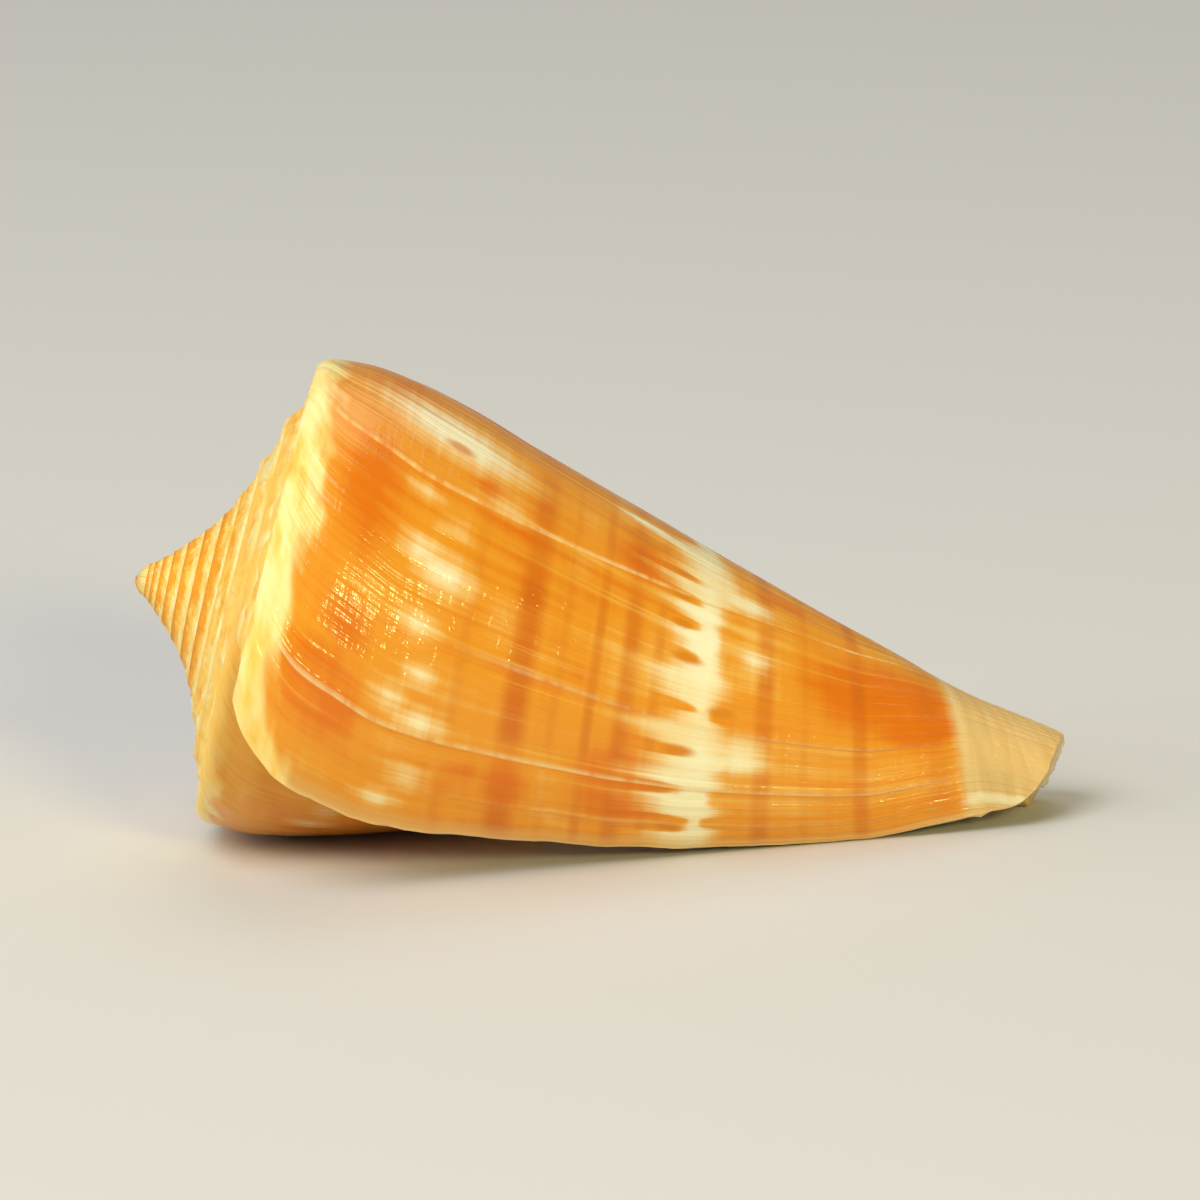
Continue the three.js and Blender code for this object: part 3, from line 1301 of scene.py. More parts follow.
@dataclass(frozen=True)
class Markings:
    """Where the pale, the brown and the deeper amber patches lie on the last whorl.

    The lists give the side that faces up; the rest of the whorl carries on in the same way.
    """

    pale: tuple[Blotch, ...] = (
        Blotch(18.5, 8.4, 6.5, 3.6, 1.5), Blotch(13.5, 6.6, 4.0, 2.2, 0.8),
        Blotch(41.0, 7.3, 4.5, 1.6, 0.4), Blotch(46.0, 9.6, 4.0, 1.8, 0.35),
        Blotch(58.4, 9.4, 5.0, 1.8), Blotch(55.5, 7.8, 4.0, 1.4, 0.8),
        Blotch(71.6, 8.4, 3.8, 1.5, 0.8), Blotch(81.5, 9.1, 2.8, 1.2, 0.8),
        Blotch(88.5, 7.6, 3.4, 1.3, 0.8), Blotch(91.5, 9.6, 3.6, 1.6, 0.9),
        Blotch(104.5, 9.4, 3.4, 1.4, 0.8), Blotch(111.3, 8.0, 3.0, 1.6, 0.6),
        Blotch(82.0, 27.8, 9.0, 1.9, 0.9), Blotch(21.0, 27.4, 6.0, 2.4),
        Blotch(3.0, 21.6, 2.6, 2.6),
        Blotch(32.0, 12.4, 10.0, 3.0, 0.25), Blotch(46.0, 28.4, 9.0, 2.4, 0.45),
        Blotch(38.0, 17.2, 8.0, 1.8, 0.05),
        Blotch(88.0, 35.5, 9.0, 3.6, 0.05), Blotch(62.0, 13.2, 10.0, 2.6, 0.05),
    )
    deep: tuple[Blotch, ...] = (
        Blotch(47.0, 36.4, 19.0, 4.8, 1.2), Blotch(97.0, 21.4, 13.0, 3.4, 1.1),
        Blotch(62.0, 38.6, 14.0, 2.8, 1.2), Blotch(101.0, 14.8, 8.0, 1.8, 0.9),
        Blotch(95.0, 3.6, 9.0, 2.6, 1.2),
        Blotch(24.0, 21.0, 12.0, 2.8, 0.8), Blotch(16.0, 5.6, 15.0, 4.6, 0.8),
        Blotch(50.0, 4.4, 22.0, 3.6, 0.8), Blotch(80.0, 4.4, 10.0, 2.6, 0.7),
        Blotch(30.0, 11.0, 8.0, 2.6, 0.6), Blotch(68.0, 18.0, 9.0, 3.0, 0.4),
        Blotch(100.0, 12.5, 8.0, 2.6, 0.5), Blotch(8.0, 30.5, 8.0, 3.0, 0.7),
        # This last patch darkens the older whorl under the lip: painted shade.
        Blotch(-226.0, 9.5, 18.0, 6.5, 1.3),
    )
    stripe: float = 25.5
    tongues: tuple[tuple[float, float], ...] = (
        (-6.0, 1.0), (0.0, 2.0), (4.0, 5.4), (9.0, 2.2), (13.0, 2.0), (17.5, 2.6), (20.5, 0.9),
        (23.5, 3.9), (26.5, 2.8), (29.8, 0.7), (33.0, 2.9), (36.0, 2.4), (39.6, 0.7),
        (43.5, 2.8), (47.0, 2.4), (51.5, 0.7), (54.5, 2.5), (60.0, 3.8), (65.0, 3.2), (67.5, 0.5),
        (70.5, 2.0), (76.0, 4.3), (79.0, 3.3), (82.0, 0.8), (85.5, 3.0), (91.0, 4.1), (95.0, 1.2),
        (98.5, 3.4), (103.5, 2.9), (106.0, 0.4), (109.0, 0.6), (113.0, 3.2), (118.0, 2.4),
    )
    heels: tuple[tuple[float, float], ...] = (
        (-6.0, 1.2), (6.0, 1.6), (16.0, 2.6), (24.0, 2.2), (30.0, 1.1), (40.0, 0.9), (50.0, 1.1),
        (60.0, 1.5), (66.0, 1.0), (68.0, 0.5), (74.0, 1.4), (82.0, 2.6), (92.0, 1.7), (97.0, 0.9),
        (104.0, 1.5), (107.0, 0.4), (112.0, 1.4), (118.0, 1.0),
    )
    brown: tuple[Blotch, ...] = (
        Blotch(22.5, 8.8, 1.7, 0.8), Blotch(20.0, 23.5, 1.6, 0.7), Blotch(30.0, 23.6, 1.6, 0.6),
        Blotch(40.6, 23.8, 1.4, 0.6), Blotch(52.0, 24.3, 1.6, 0.8), Blotch(82.0, 24.3, 1.6, 0.8),
        Blotch(109.0, 24.1, 1.4, 0.6), Blotch(14.0, 21.0, 3.0, 1.4), Blotch(67.0, 26.6, 1.6, 0.7),
        Blotch(95.0, 23.4, 1.5, 0.6),
    )
    carries_on_from: float = -12.0
    carries_on_to: float = -257.0
    seed: int = 7
    pale_chance: float = 0.6
    stripe_pale_chance: float = 0.4
    brown_chance: float = 0.6
    longest_tongue: float = 4.0
    longest_heel: float = 2.4
    bluntness: float = 0.3

    def unseen(self) -> tuple[list[Blotch], list[Blotch], list[Blotch]]:
        """The patches of the rest of the whorl, in the same manner.

        Returns:
            The pale ones, the brown ones and the deep ones.
        """
        draw = np.random.default_rng(self.seed).uniform
        pale, brown, deep = [], [], []
        turn = self.carries_on_from
        while turn > self.carries_on_to:
            if draw(0, 1) < self.pale_chance:
                pale.append(Blotch(turn, draw(6.4, 9.6), draw(2.4, 5.0), draw(0.9, 2.2)))
            if draw(0, 1) < self.stripe_pale_chance:
                pale.append(Blotch(turn, draw(26.6, 28.0), draw(4.0, 9.0), draw(1.0, 2.0)))
            if draw(0, 1) < self.brown_chance:
                brown.append(Blotch(turn + draw(-3, 3), draw(23.4, 24.4), 1.6, 0.7))
            deep.append(Blotch(turn, draw(3.0, 37.0), draw(8.0, 18.0), draw(2.4, 5.5), 0.8))
            turn -= draw(8.0, 13.0)
        return pale, brown, deep

    def reaches(
        self, seen: Sequence[tuple[float, float]], longest: float
    ) -> tuple[np.ndarray, np.ndarray]:
        """How far the pale stripe reaches to one side, all round the whorl.

        Args:
            seen: the reaches of the side that faces up, by angle.
            longest: the longest reach of the rest.

        Returns:
            The angles and the reaches.
        """
        draw = np.random.default_rng(self.seed + len(seen)).uniform
        turn, unseen = self.carries_on_from, []
        while turn > self.carries_on_to - TURN:
            unseen += [(turn, draw(0.3, 1.2)), (turn - draw(3.0, 5.0), draw(0.45, 1.0) * longest)]
            turn -= draw(8.0, 12.0)
        turns, reaches = zip(*unseen[::-1], *seen)
        return np.array(turns), np.array(reaches)

    def between(self, turn: np.ndarray, turns: np.ndarray, reaches: np.ndarray) -> np.ndarray:
        """Steps between reaches, so that the tongues and the gaps between them are blunt.

        Args:
            turn: angles of the places.
            turns: angles of the reaches.
            reaches: the reaches.

        Returns:
            The reach at each place.
        """
        steps = np.interp(turn, turns, np.arange(len(turns)))
        low = np.clip(steps.astype(int), 0, len(turns) - 2)
        share = np.clip((steps - low - self.bluntness) / (1 - 2 * self.bluntness), 0, 1)
        return reaches[low] + np.diff(reaches)[low] * share * share * (3 - 2 * share)

    @staticmethod
    def strength(blotches: Sequence[Blotch], turn: np.ndarray, along: np.ndarray) -> np.ndarray:
        """How deep each place lies within the nearest patch.

        Args:
            blotches: the patches.
            turn: angles of the places.
            along: their distances below the shoulder.

        Returns:
            1 in the middle of a patch, 0 on its edge and down to -1 well outside.
        """
        best = np.full(turn.shape, -1.0, dtype=np.float32)
        for blotch in blotches:
            near = np.abs(turn - blotch.turn) < 2 * blotch.sweep
            across = (turn[near] - blotch.turn) / blotch.sweep
            down = (along[near] - blotch.along) / blotch.height
            best[near] = np.maximum(best[near], blotch.strength - np.hypot(across, down))
        return best

    def lay(self, mesh: bpy.types.Mesh, turn: np.ndarray, along: np.ndarray) -> None:
        """Writes the patches onto a mesh as attributes of its corners.

        Args:
            mesh: the shell's mesh.
            turn: each corner's angle.
            along: its distance below the shoulder.
        """
        more_pale, more_brown, more_deep = self.unseen()
        above = self.between(turn, *self.reaches(self.tongues, self.longest_tongue))
        below = self.between(turn, *self.reaches(self.heels, self.longest_heel))
        off = along - self.stripe
        stripe = 1.0 - np.where(off < 0, -off / above, off / below)
        pale = self.strength([*self.pale, *more_pale], turn, along)
        brown = self.strength([*self.brown, *more_brown], turn, along)
        deep = self.strength([*self.deep, *more_deep], turn, along)
        patches = {"pale": np.maximum(pale, stripe), "brown": brown, "deep": deep}
        for name, values in patches.items():
            layer = mesh.attributes.new(name, "FLOAT", "CORNER")
            layer.data.foreach_set("value", np.clip(values, -1, 1).astype(np.float32))


# ---------------------------------------------------------------- the finish


Colour = tuple[float, float, float, float]


class Band(NamedTuple):
    """A spiral band of deeper colour at a constant distance below the shoulder."""

    along: float
    width: float
    strength: float


class Grown(NamedTuple):
    """What the material knows of a place: where it grew and which patches it lies in."""

    turn: Field
    along: Field
    ramp: Field
    pale: Field
    brown: Field
    deep: Field
    depth: Field

    @classmethod
    def read(cls, tree: Tree) -> "Grown":
        """Reads the shell's attributes in a material's tree.

        Args:
            tree: the tree.

        Returns:
            What they say.
        """
        growth = tree.node("ShaderNodeAttribute", attribute_name="growth")
        values = [*tree.parts(Field(tree, growth.outputs["Vector"]))]
        for name in cls._fields[3:]:
            made = tree.node("ShaderNodeAttribute", attribute_name=name)
            values.append(Field(tree, made.outputs["Fac"]))
        return cls(*values)


@dataclass(frozen=True)
class BodyFinish:
    """Amber with streaks, bands and patches, over the side of the last whorl."""

    amber: Colour = (0.81, 0.318, 0.016, 1.0)
    deep_amber: Colour = (0.74, 0.180, 0.001, 1.0)
    light_amber: Colour = (0.87, 0.50, 0.105, 1.0)
    band: Colour = (0.62, 0.140, 0.003, 1.0)
    brown: Colour = (0.68, 0.220, 0.004, 1.0)
    milk: Colour = (0.89, 0.68, 0.33, 1.0)
    white: Colour = (0.93, 0.89, 0.62, 1.0)
    tan: Colour = (0.72, 0.46, 0.16, 1.0)
    drab: Colour = (0.56, 0.38, 0.15, 1.0)
    bands: tuple[Band, ...] = (
        Band(14.7, 0.75, 0.75), Band(18.95, 0.30, 0.50), Band(20.9, 0.50, 0.65),
        Band(22.6, 0.30, 0.35), Band(29.15, 0.52, 0.75), Band(31.6, 0.25, 0.20),
        Band(34.9, 0.46, 0.65), Band(39.6, 0.9, 0.40), Band(11.2, 0.35, 0.20),
        Band(16.9, 0.25, 0.20),
    )
    cloud_grain: Grain = Grain(0.035, 0.11, 2.0)
    streak_grain: Grain = Grain(0.30, 0.020, 8.0, 4.0)
    fine_grain: Grain = Grain(1.25, 0.045, 21.0)
    thread_grain: Grain = Grain(0.012, 1.5, 31.0)
    wash_grain: Grain = Grain(0.05, 0.03, 44.0, 2.0)
    patch_grain: Grain = Grain(0.05, 0.08, 61.0, 2.0)
    cord_grain: Grain = Grain(0.02, 1.7, 71.0, 2.0)
    deep_edge: Span = Span(-0.35, 0.75)
    deep_to_amber: Span = Span(-0.85, 0.05)
    amber_to_light: Span = Span(0.05, 0.90)
    line_edge: Span = Span(0.18, 0.62)
    line_thins: Span = Span(0.6, -0.4)
    line_shares: tuple[float, float] = (0.3, 0.6)
    bright_line_edge: Span = Span(0.48, 0.88)
    haze_edge: Span = Span(-0.60, 0.30)
    veil_edge: Span = Span(-0.12, 0.62)
    soft_veil_edge: Span = Span(-0.35, 1.1)
    chalk_edge: Span = Span(-0.10, 0.70)
    spot_edge: Span = Span(-0.65, 0.45)
    scar_rim: Span = Span(-1.6, -0.1)
    scar_rim_end: Span = Span(0.5, 0.1)
    scar_rim_breaks: Span = Span(-0.6, 0.5)
    scar_rim_shares: tuple[float, float] = (0.1, 0.9)
    # The brown line just after each break: partly the dark crack, partly painted shadow under the
    # step.
    scar_crack_and_shadow: Span = Span(0.1, 0.6)
    scar_crack_and_shadow_end: Span = Span(1.5, 0.5)
    scar_crack_and_shadow_breaks: Span = Span(-0.4, 0.6)
    scar_crack_and_shadow_shares: tuple[float, float] = (0.05, 0.55)
    blotch_rows: Span = Span(16.0, 13.0)
    base_rows: Span = Span(40.5, 41.5)
    base_rim: float = 41.5
    base_rim_edge: Span = Span(0.8, 0.1)
    drab_turns: Span = Span(76.0, 100.0)
    # Where the painted highlight lies on the base, near the lip.
    painted_highlight_turn: float = 108.0
    painted_highlight_edge: Span = Span(5.0, 1.0)
    lip_turns: Span = Span(112.0, 116.8)
    lip_rim_turns: Span = Span(116.6, 117.8)

    def colour(self, tree: Tree, at: Grown) -> Field:
        """Colour of the last whorl's side.

        Args:
            tree: the material's tree.
            at: the place.

        Returns:
            The colour.
        """
        turn, along = at.turn, at.along
        cloud = self.cloud_grain.read(turn, along)
        streak = self.streak_grain.read(turn, along)
        fine = self.fine_grain.read(turn, along)
        thread = self.thread_grain.read(turn, along)
        patches = self.patch_grain.read(turn, along)
        colour = self.ground(tree, at, cloud, streak, fine + thread)
        colour = self.banded(tree, at, colour, streak, fine)
        colour = self.lined(tree, at, colour, streak, fine, patches)
        feather = streak * 0.42 + fine * 0.24 + thread * 0.16
        colour = self.patched(tree, at, colour, cloud, feather)
        for scar in SCARS:
            ahead = scar.ahead(turn + fine * 0.25, along)
            shown = scar.shown(along)
            rim = self.scar_rim.read(ahead) * self.scar_rim_end.read(ahead)
            breaks = self.scar_rim_breaks.read(cloud + patches + thread, *self.scar_rim_shares)
            colour = tree.tint(rim * breaks * shown * scar.pale, colour, self.milk)
            # Just after the break a brown line, partly the dark crack and partly painted shadow
            # under the step.
            crack_and_shadow = self.scar_crack_and_shadow.read(ahead) * self.scar_crack_and_shadow_end.read(ahead)
            breaks = self.scar_crack_and_shadow_breaks.read(cloud - patches + thread, *self.scar_crack_and_shadow_shares)
            colour = tree.tint(crack_and_shadow * breaks * shown, colour, self.brown)
        base = self.base_rows.read(along + streak * 0.35 + fine * 0.25)
        colour = tree.tint(base, colour, self.base(tree, at, fine))
        edge = self.lip_turns.read(turn + fine * 1.6) * 0.6
        colour = tree.tint(edge, colour, self.tan)
        return tree.tint(self.lip_rim_turns.read(turn) * 0.5, colour, self.milk)

    def ground(
        self, tree: Tree, at: Grown, cloud: Field, streak: Field, finest: Field
    ) -> Field:
        """Deeper and lighter amber in streaks along the growth lines.

        Args:
            tree: the material's tree.
            at: the place.
            cloud: broad noise.
            streak: noise in streaks.
            finest: the finest noises together.

        Returns:
            The colour.
        """
        tone = cloud * 1.2 + streak * 0.9 + finest * 0.25 + 0.12
        tone = tone - self.deep_edge.read(at.deep + cloud * 0.6 + streak * 0.4) * 0.95
        colour = tree.tint(self.deep_to_amber.read(tone), self.deep_amber, self.amber)
        return tree.tint(self.amber_to_light.read(tone), colour, self.light_amber)

    def banded(self, tree: Tree, at: Grown, colour: Field, streak: Field, fine: Field) -> Field:
        """Lays the broken spiral bands over a colour.

        Args:
            tree: the material's tree.
            at: the place.
            colour: the colour below.
            streak: noise in streaks.
            fine: fine noise.

        Returns:
            The colour.
        """
        wash = self.wash_grain.read(at.turn, at.along)
        broken = tree.math("MAXIMUM", wash * 1.5 + 0.75 + fine * 0.3, 0.1)
        for band in self.bands:
            drift = at.along + streak * 0.10 - band.along
            distance = tree.math("ABSOLUTE", drift)
            depth = tree.ramp(distance, band.width * 1.6, band.width * 0.25)
            depth = depth * broken * band.strength
            colour = tree.tint(tree.math("MINIMUM", depth, 1.0), colour, self.band)
        return colour

    def lined(
        self, tree: Tree, at: Grown, colour: Field, streak: Field, fine: Field, patches: Field
    ) -> Field:
        """Draws pale growth lines over a colour, fewer where it is deep.

        Args:
            tree: the material's tree.
            at: the place.
            colour: the colour below.
            streak: noise in streaks.
            fine: fine noise.
            patches: noise in patches.

        Returns:
            The colour.
        """
        line = self.line_edge.read(streak * 0.6 + fine * 0.65 + patches * 0.5)
        line = line * self.line_thins.read(at.deep, *self.line_shares)
        colour = tree.tint(line, colour, self.light_amber)
        bright = self.bright_line_edge.read(streak * 0.5 + fine * 0.6 + patches * 0.8)
        return tree.tint(bright * 0.8, colour, self.milk)

    def patched(self, tree: Tree, at: Grown, colour: Field, cloud: Field, feather: Field) -> Field:
        """Lays the pale stripe and blotches and the brown spots over a colour.

        Args:
            tree: the material's tree.
            at: the place.
            colour: the colour below.
            cloud: broad noise.
            feather: the noise that feathers the patches' edges.

        Returns:
            The colour.
        """
        haze = self.haze_edge.read(at.pale + feather)
        colour = tree.tint(haze * 0.55, colour, self.light_amber)
        veil = self.veil_edge.read(at.pale + feather)
        soft = self.soft_veil_edge.read(at.pale + feather * 2.2) * 0.9
        veil = veil.toward(soft, self.blotch_rows.read(at.along))
        chalk = self.chalk_edge.read(cloud + feather + at.pale * 0.6)
        colour = tree.tint(veil, colour, tree.tint(chalk, self.milk, self.white))
        spot = self.spot_edge.read(at.brown + feather * 0.5)
        return tree.tint(spot * 0.75, colour, self.brown)

    def base(self, tree: Tree, at: Grown, fine: Field) -> Field:
        """The tan base, with faint cords, a pale rim and a painted highlight near the lip.

        Args:
            tree: the material's tree.
            at: the place.
            fine: fine noise.

        Returns:
            The colour.
        """
        cord = self.cord_grain.read(at.turn, at.along)
        rim = self.base_rim_edge.read(tree.math("ABSOLUTE", at.along - self.base_rim)) * 0.3
        drab = self.drab_turns.read(at.turn + cord * 12.0) * 0.6
        tan = tree.tint(drab, self.tan, self.drab)
        tan = tree.tint(tree.ramp(cord + fine * 0.5, -0.5, 0.7) * 0.4 + rim, tan, self.milk)
        # A white streak near the lip on the base: painted highlight.
        off_painted_highlight = tree.math("ABSOLUTE", at.turn + cord * 2.0 - self.painted_highlight_turn)
        return tree.tint(self.painted_highlight_edge.read(off_painted_highlight) * 0.6, tan, self.white)


@dataclass(frozen=True)
class SpireFinish:
    """Cream with orange smears and dark sutures, over the spire and the shoulder."""

    cream: Colour = (0.94, 0.82, 0.36, 1.0)
    ivory: Colour = (0.97, 0.62, 0.12, 1.0)
    honey: Colour = (0.88, 0.36, 0.018, 1.0)
    seam: Colour = (0.60, 0.20, 0.010, 1.0)
    streak_grain: Grain = Grain(0.040, 2.6, 3.0)
    across_grain: Grain = Grain(0.15, 1.1, 12.0, 4.0)
    cord_grain: Grain = Grain(0.014, 7.0, 23.0)
    mottle_grain: Grain = Grain(0.085, 0.8, 5.0, 4.0)
    rubbed_grain: Grain = Grain(0.35, 0.25, 9.0)
    bend: float = 36.0
    late_turns: Span = Span(-1000.0, -480.0)
    crest_edge: Span = Span(0.985, 0.999)
    ridge_edge: Span = Span(0.80, 0.98)
    seam_edge: Span = Span(0.16, 0.02)
    brightens: Span = Span(0.10, 0.85)
    honey_to_ivory: Span = Span(-0.75, 0.0)
    ivory_to_cream: Span = Span(0.05, 0.75)
    scorch_edge: Span = Span(0.08, 0.55)
    ridge_breaks: Span = Span(-0.9, 0.5)
    ridge_shares: tuple[float, float] = (0.35, 0.85)
    mottle_edge: Span = Span(-0.22, 0.32)
    deep_mottle_edge: Span = Span(0.12, 0.50)
    rubbed_edge: Span = Span(0.0, 0.40)
    seam_shares: tuple[float, float] = (0.75, 0.30)
    seam_breaks: Span = Span(-0.5, 0.4)
    seam_break_shares: tuple[float, float] = (0.35, 1.0)

    def colour(self, tree: Tree, at: Grown) -> Field:
        """Colour of the ramps and the shoulder.

        Args:
            tree: the material's tree.
            at: the place.

        Returns:
            The colour.
        """
        turn, along, ramp = at.turn, at.along, at.ramp
        late = self.late_turns.read(turn)
        streak = self.streak_grain.read(turn, ramp)
        across = self.across_grain.read(turn + ramp * (1.0 - ramp) * self.bend, ramp)
        cord = self.cord_grain.read(turn, ramp)
        tone = streak * 1.1 + across * 0.6 + cord * 0.8
        rise = self.brightens.read(ramp) * 1.2 - 0.80
        tone = tone + rise.toward(rise * 0.3 + 0.34, late)
        colour = tree.tint(self.honey_to_ivory.read(tone), self.honey, self.ivory)
        colour = tree.tint(self.ivory_to_cream.read(tone), colour, self.cream)
        scorch = self.scorch_edge.read(across - streak * 0.6 - cord * 0.3)
        colour = tree.tint(scorch * 0.72, colour, self.honey)
        breaks = self.ridge_breaks.read(across + streak, *self.ridge_shares)
        colour = tree.tint(self.ridge_edge.read(ramp) * breaks, colour, self.cream)
        crest = self.crest_edge.read(ramp)
        mottle = self.mottle_grain.read(turn, along)
        colour = tree.tint(crest * self.mottle_edge.read(mottle) * 0.9, colour, self.ivory)
        colour = tree.tint(crest * self.deep_mottle_edge.read(mottle) * 0.5, colour, self.honey)
        rubbed = self.rubbed_edge.read(self.rubbed_grain.read(turn, along))
        colour = tree.tint(crest * rubbed * 0.45, colour, self.ivory)
        seam = self.seam_edge.read(ramp + across * 0.10)
        seam = seam * tree.ramp(late, 0.0, 1.0, *self.seam_shares)
        breaks = self.seam_breaks.read(streak + across * 0.5, *self.seam_break_shares)
        return tree.tint(seam * breaks, colour, self.seam)


@dataclass(frozen=True)
class ShellFinish:
    """Polished amber shell with cream and brown markings, cream spire and pale base."""

    body: BodyFinish = BodyFinish()
    spire: SpireFinish = SpireFinish()
    inside: Colour = (0.93, 0.78, 0.52, 1.0)
    roughness: float = 0.36
    specular: float = 0.15
    subsurface: float = 0.08
    subsurface_reach: tuple[float, float, float] = (1.0, 0.45, 0.15)
    subsurface_scale: float = 0.8
    coat: float = 0.55
    spire_coat: float = 0.12
    coat_roughness: float = 0.07
    coat_edge: Span = Span(-0.95, 0.4)
    bump_reach: float = 0.05
    coat_bump_reach: float = 0.105
    thread_share: float = 0.45
    line_fineness: tuple[float, float, float] = (0.42, 0.05, 3.0)
    thread_fineness: tuple[float, float, float] = (0.11, 1.6, 9.0)
    mottle_scale: float = 160.0
    shoulder_grain: Grain = Grain(0.085, 0.55, 4.0, 1.6)
    shoulder_edge: Span = Span(-0.65, 0.75)
    shoulder_widens: Span = Span(44.0, 60.0)
    shoulder_widths: tuple[float, float] = (0.5, 0.95)
    lip_widens: Span = Span(104.0, 117.0)
    lip_width: float = 1.9
    # Where the older whorl under the lip is tinted, pale near the shoulder and darker lower down,
    # the darker part being painted shade.
    tucked_from: Span = Span(-196.0, -232.0)
    tucked_to: Span = Span(-300.0, -258.0)
    tucked_ramp: Span = Span(0.55, 0.98)
    tucked_rows: Span = Span(15.0, 8.0)
    painted_shade_rows: Span = Span(-2.0, 5.0)
    hollow_turns: Span = Span(-249.0, -258.0)
    hollow_rows: Span = Span(0.3, 0.7)
    wall_edge: Span = Span(0.15, 0.75)
    worn_grain: Grain = Grain(0.25, 0.3, 51.0)
    dull_spire: Span = Span(0.6, -0.6)
    dull_base: Span = Span(39.0, 44.0)
    dulling: float = 0.12

    def dress(self) -> bpy.types.Material:
        """Builds the material.

        Returns:
            The material.
        """
        material = bpy.data.materials.new("polished_shell")
        material.use_nodes = True
        material.node_tree.nodes.clear()
        tree = Tree(material.node_tree)
        at = Grown.read(tree)
        turn, along, ramp = at.turn, at.along, at.ramp
        lines = tree.vector(*(v * f for v, f in zip((turn, along, ramp), self.line_fineness)))
        lines = tree.noise(lines, detail=3.0)
        threads = tree.vector(*(v * f for v, f in zip((turn, along, ramp), self.thread_fineness)))
        threads = tree.noise(threads)
        coat_height = lines + threads * self.thread_share
        surface = tree.wire(
            "ShaderNodeBsdfPrincipled",
            {
                "Base Color": self.lined_colour(tree, at, self.outside_colour(tree, at)),
                "Roughness": self.gloss(at),
                "Specular IOR Level": self.specular,
                "Normal": self.bump(tree, lines, self.bump_reach),
                "Coat Weight": self.coat_edge.read(along, self.spire_coat, self.coat),
                "Coat Roughness": self.coat_roughness,
                "Coat Normal": self.bump(tree, coat_height, self.coat_bump_reach),
                "Subsurface Weight": self.subsurface,
                "Subsurface Radius": self.subsurface_reach,
                "Subsurface Scale": self.subsurface_scale * MM,
            },
        )
        end = tree.node("ShaderNodeOutputMaterial")
        tree.feed(end.inputs["Surface"], Field(tree, surface.outputs[0]))
        return material

    def outside_colour(self, tree: Tree, at: Grown) -> Field:
        """The body's colour and the spire's; under the lip the older whorl is tinted pale ivory
        near the shoulder and darker honey further down, and that darker honey is painted shade.

        Args:
            tree: the material's tree.
            at: the place.

        Returns:
            The colour of the outside.
        """
        turn, along, spire = at.turn, at.along, self.spire
        edge = self.shoulder_grain.read(turn, along)
        reach = self.shoulder_widens.read(turn, *self.shoulder_widths)
        reach = reach + self.lip_widens.read(turn) * self.lip_width
        on_body = self.shoulder_edge.read(along + edge * 2.0 - reach)
        colour = tree.tint(on_body, spire.colour(tree, at), self.body.colour(tree, at))
        # Under the lip the older whorl goes from pale ivory near the shoulder to darker honey lower
        # down; the honey is painted shade.
        tucked = self.tucked_from.read(turn + edge * 12.0) * self.tucked_to.read(turn)
        tucked = tucked * self.tucked_ramp.read(at.ramp) * self.tucked_rows.read(along + edge * 3.0)
        painted_shade = self.painted_shade_rows.read(along + edge * 3.0, 0.35, 1.0)
        return tree.tint(tucked * 0.85, colour, tree.tint(painted_shade, spire.ivory, spire.honey))

    def lined_colour(self, tree: Tree, at: Grown, outside: Field) -> Field:
        """The outside's colour, passing into the pale lining at the edges of the wall.

        Args:
            tree: the material's tree.
            at: the place.
            outside: the colour of the outside.

        Returns:
            The colour.
        """
        place = Field(tree, tree.node("ShaderNodeTexCoord").outputs["Object"])
        within = self.hollow_turns.read(at.turn) * self.hollow_rows.read(at.along)
        lining = tree.math("MAXIMUM", self.wall_edge.read(at.depth), within)
        mottle = tree.noise(place, scale=self.mottle_scale, detail=3.0)
        lining_colour = tree.tint(mottle * 0.5 + 0.5, self.inside, self.spire.cream)
        return tree.tint(lining, outside, lining_colour)

    def gloss(self, at: Grown) -> Field:
        """Roughness, a little duller on the spire and the base.

        Args:
            at: the place.

        Returns:
            The roughness.
        """
        worn = self.worn_grain.read(at.turn, at.along)
        dull = self.dull_spire.read(at.along) + self.dull_base.read(at.along)
        return worn * 0.05 + dull * self.dulling + self.roughness

    @staticmethod
    def bump(tree: Tree, height: Field, reach: float) -> Field:
        """The finest growth lines, which are too small for the mesh.

        Args:
            tree: the material's tree.
            height: how high a place stands, about 0.
            reach: what a height of 1 comes to, in millimetres.

        Returns:
            The bumped normal.
        """
        inputs = {"Height": height, "Strength": 1.0, "Distance": reach * MM}
        return Field(tree, tree.wire("ShaderNodeBump", inputs).outputs[0])


# ---------------------------------------------------------------- the shell


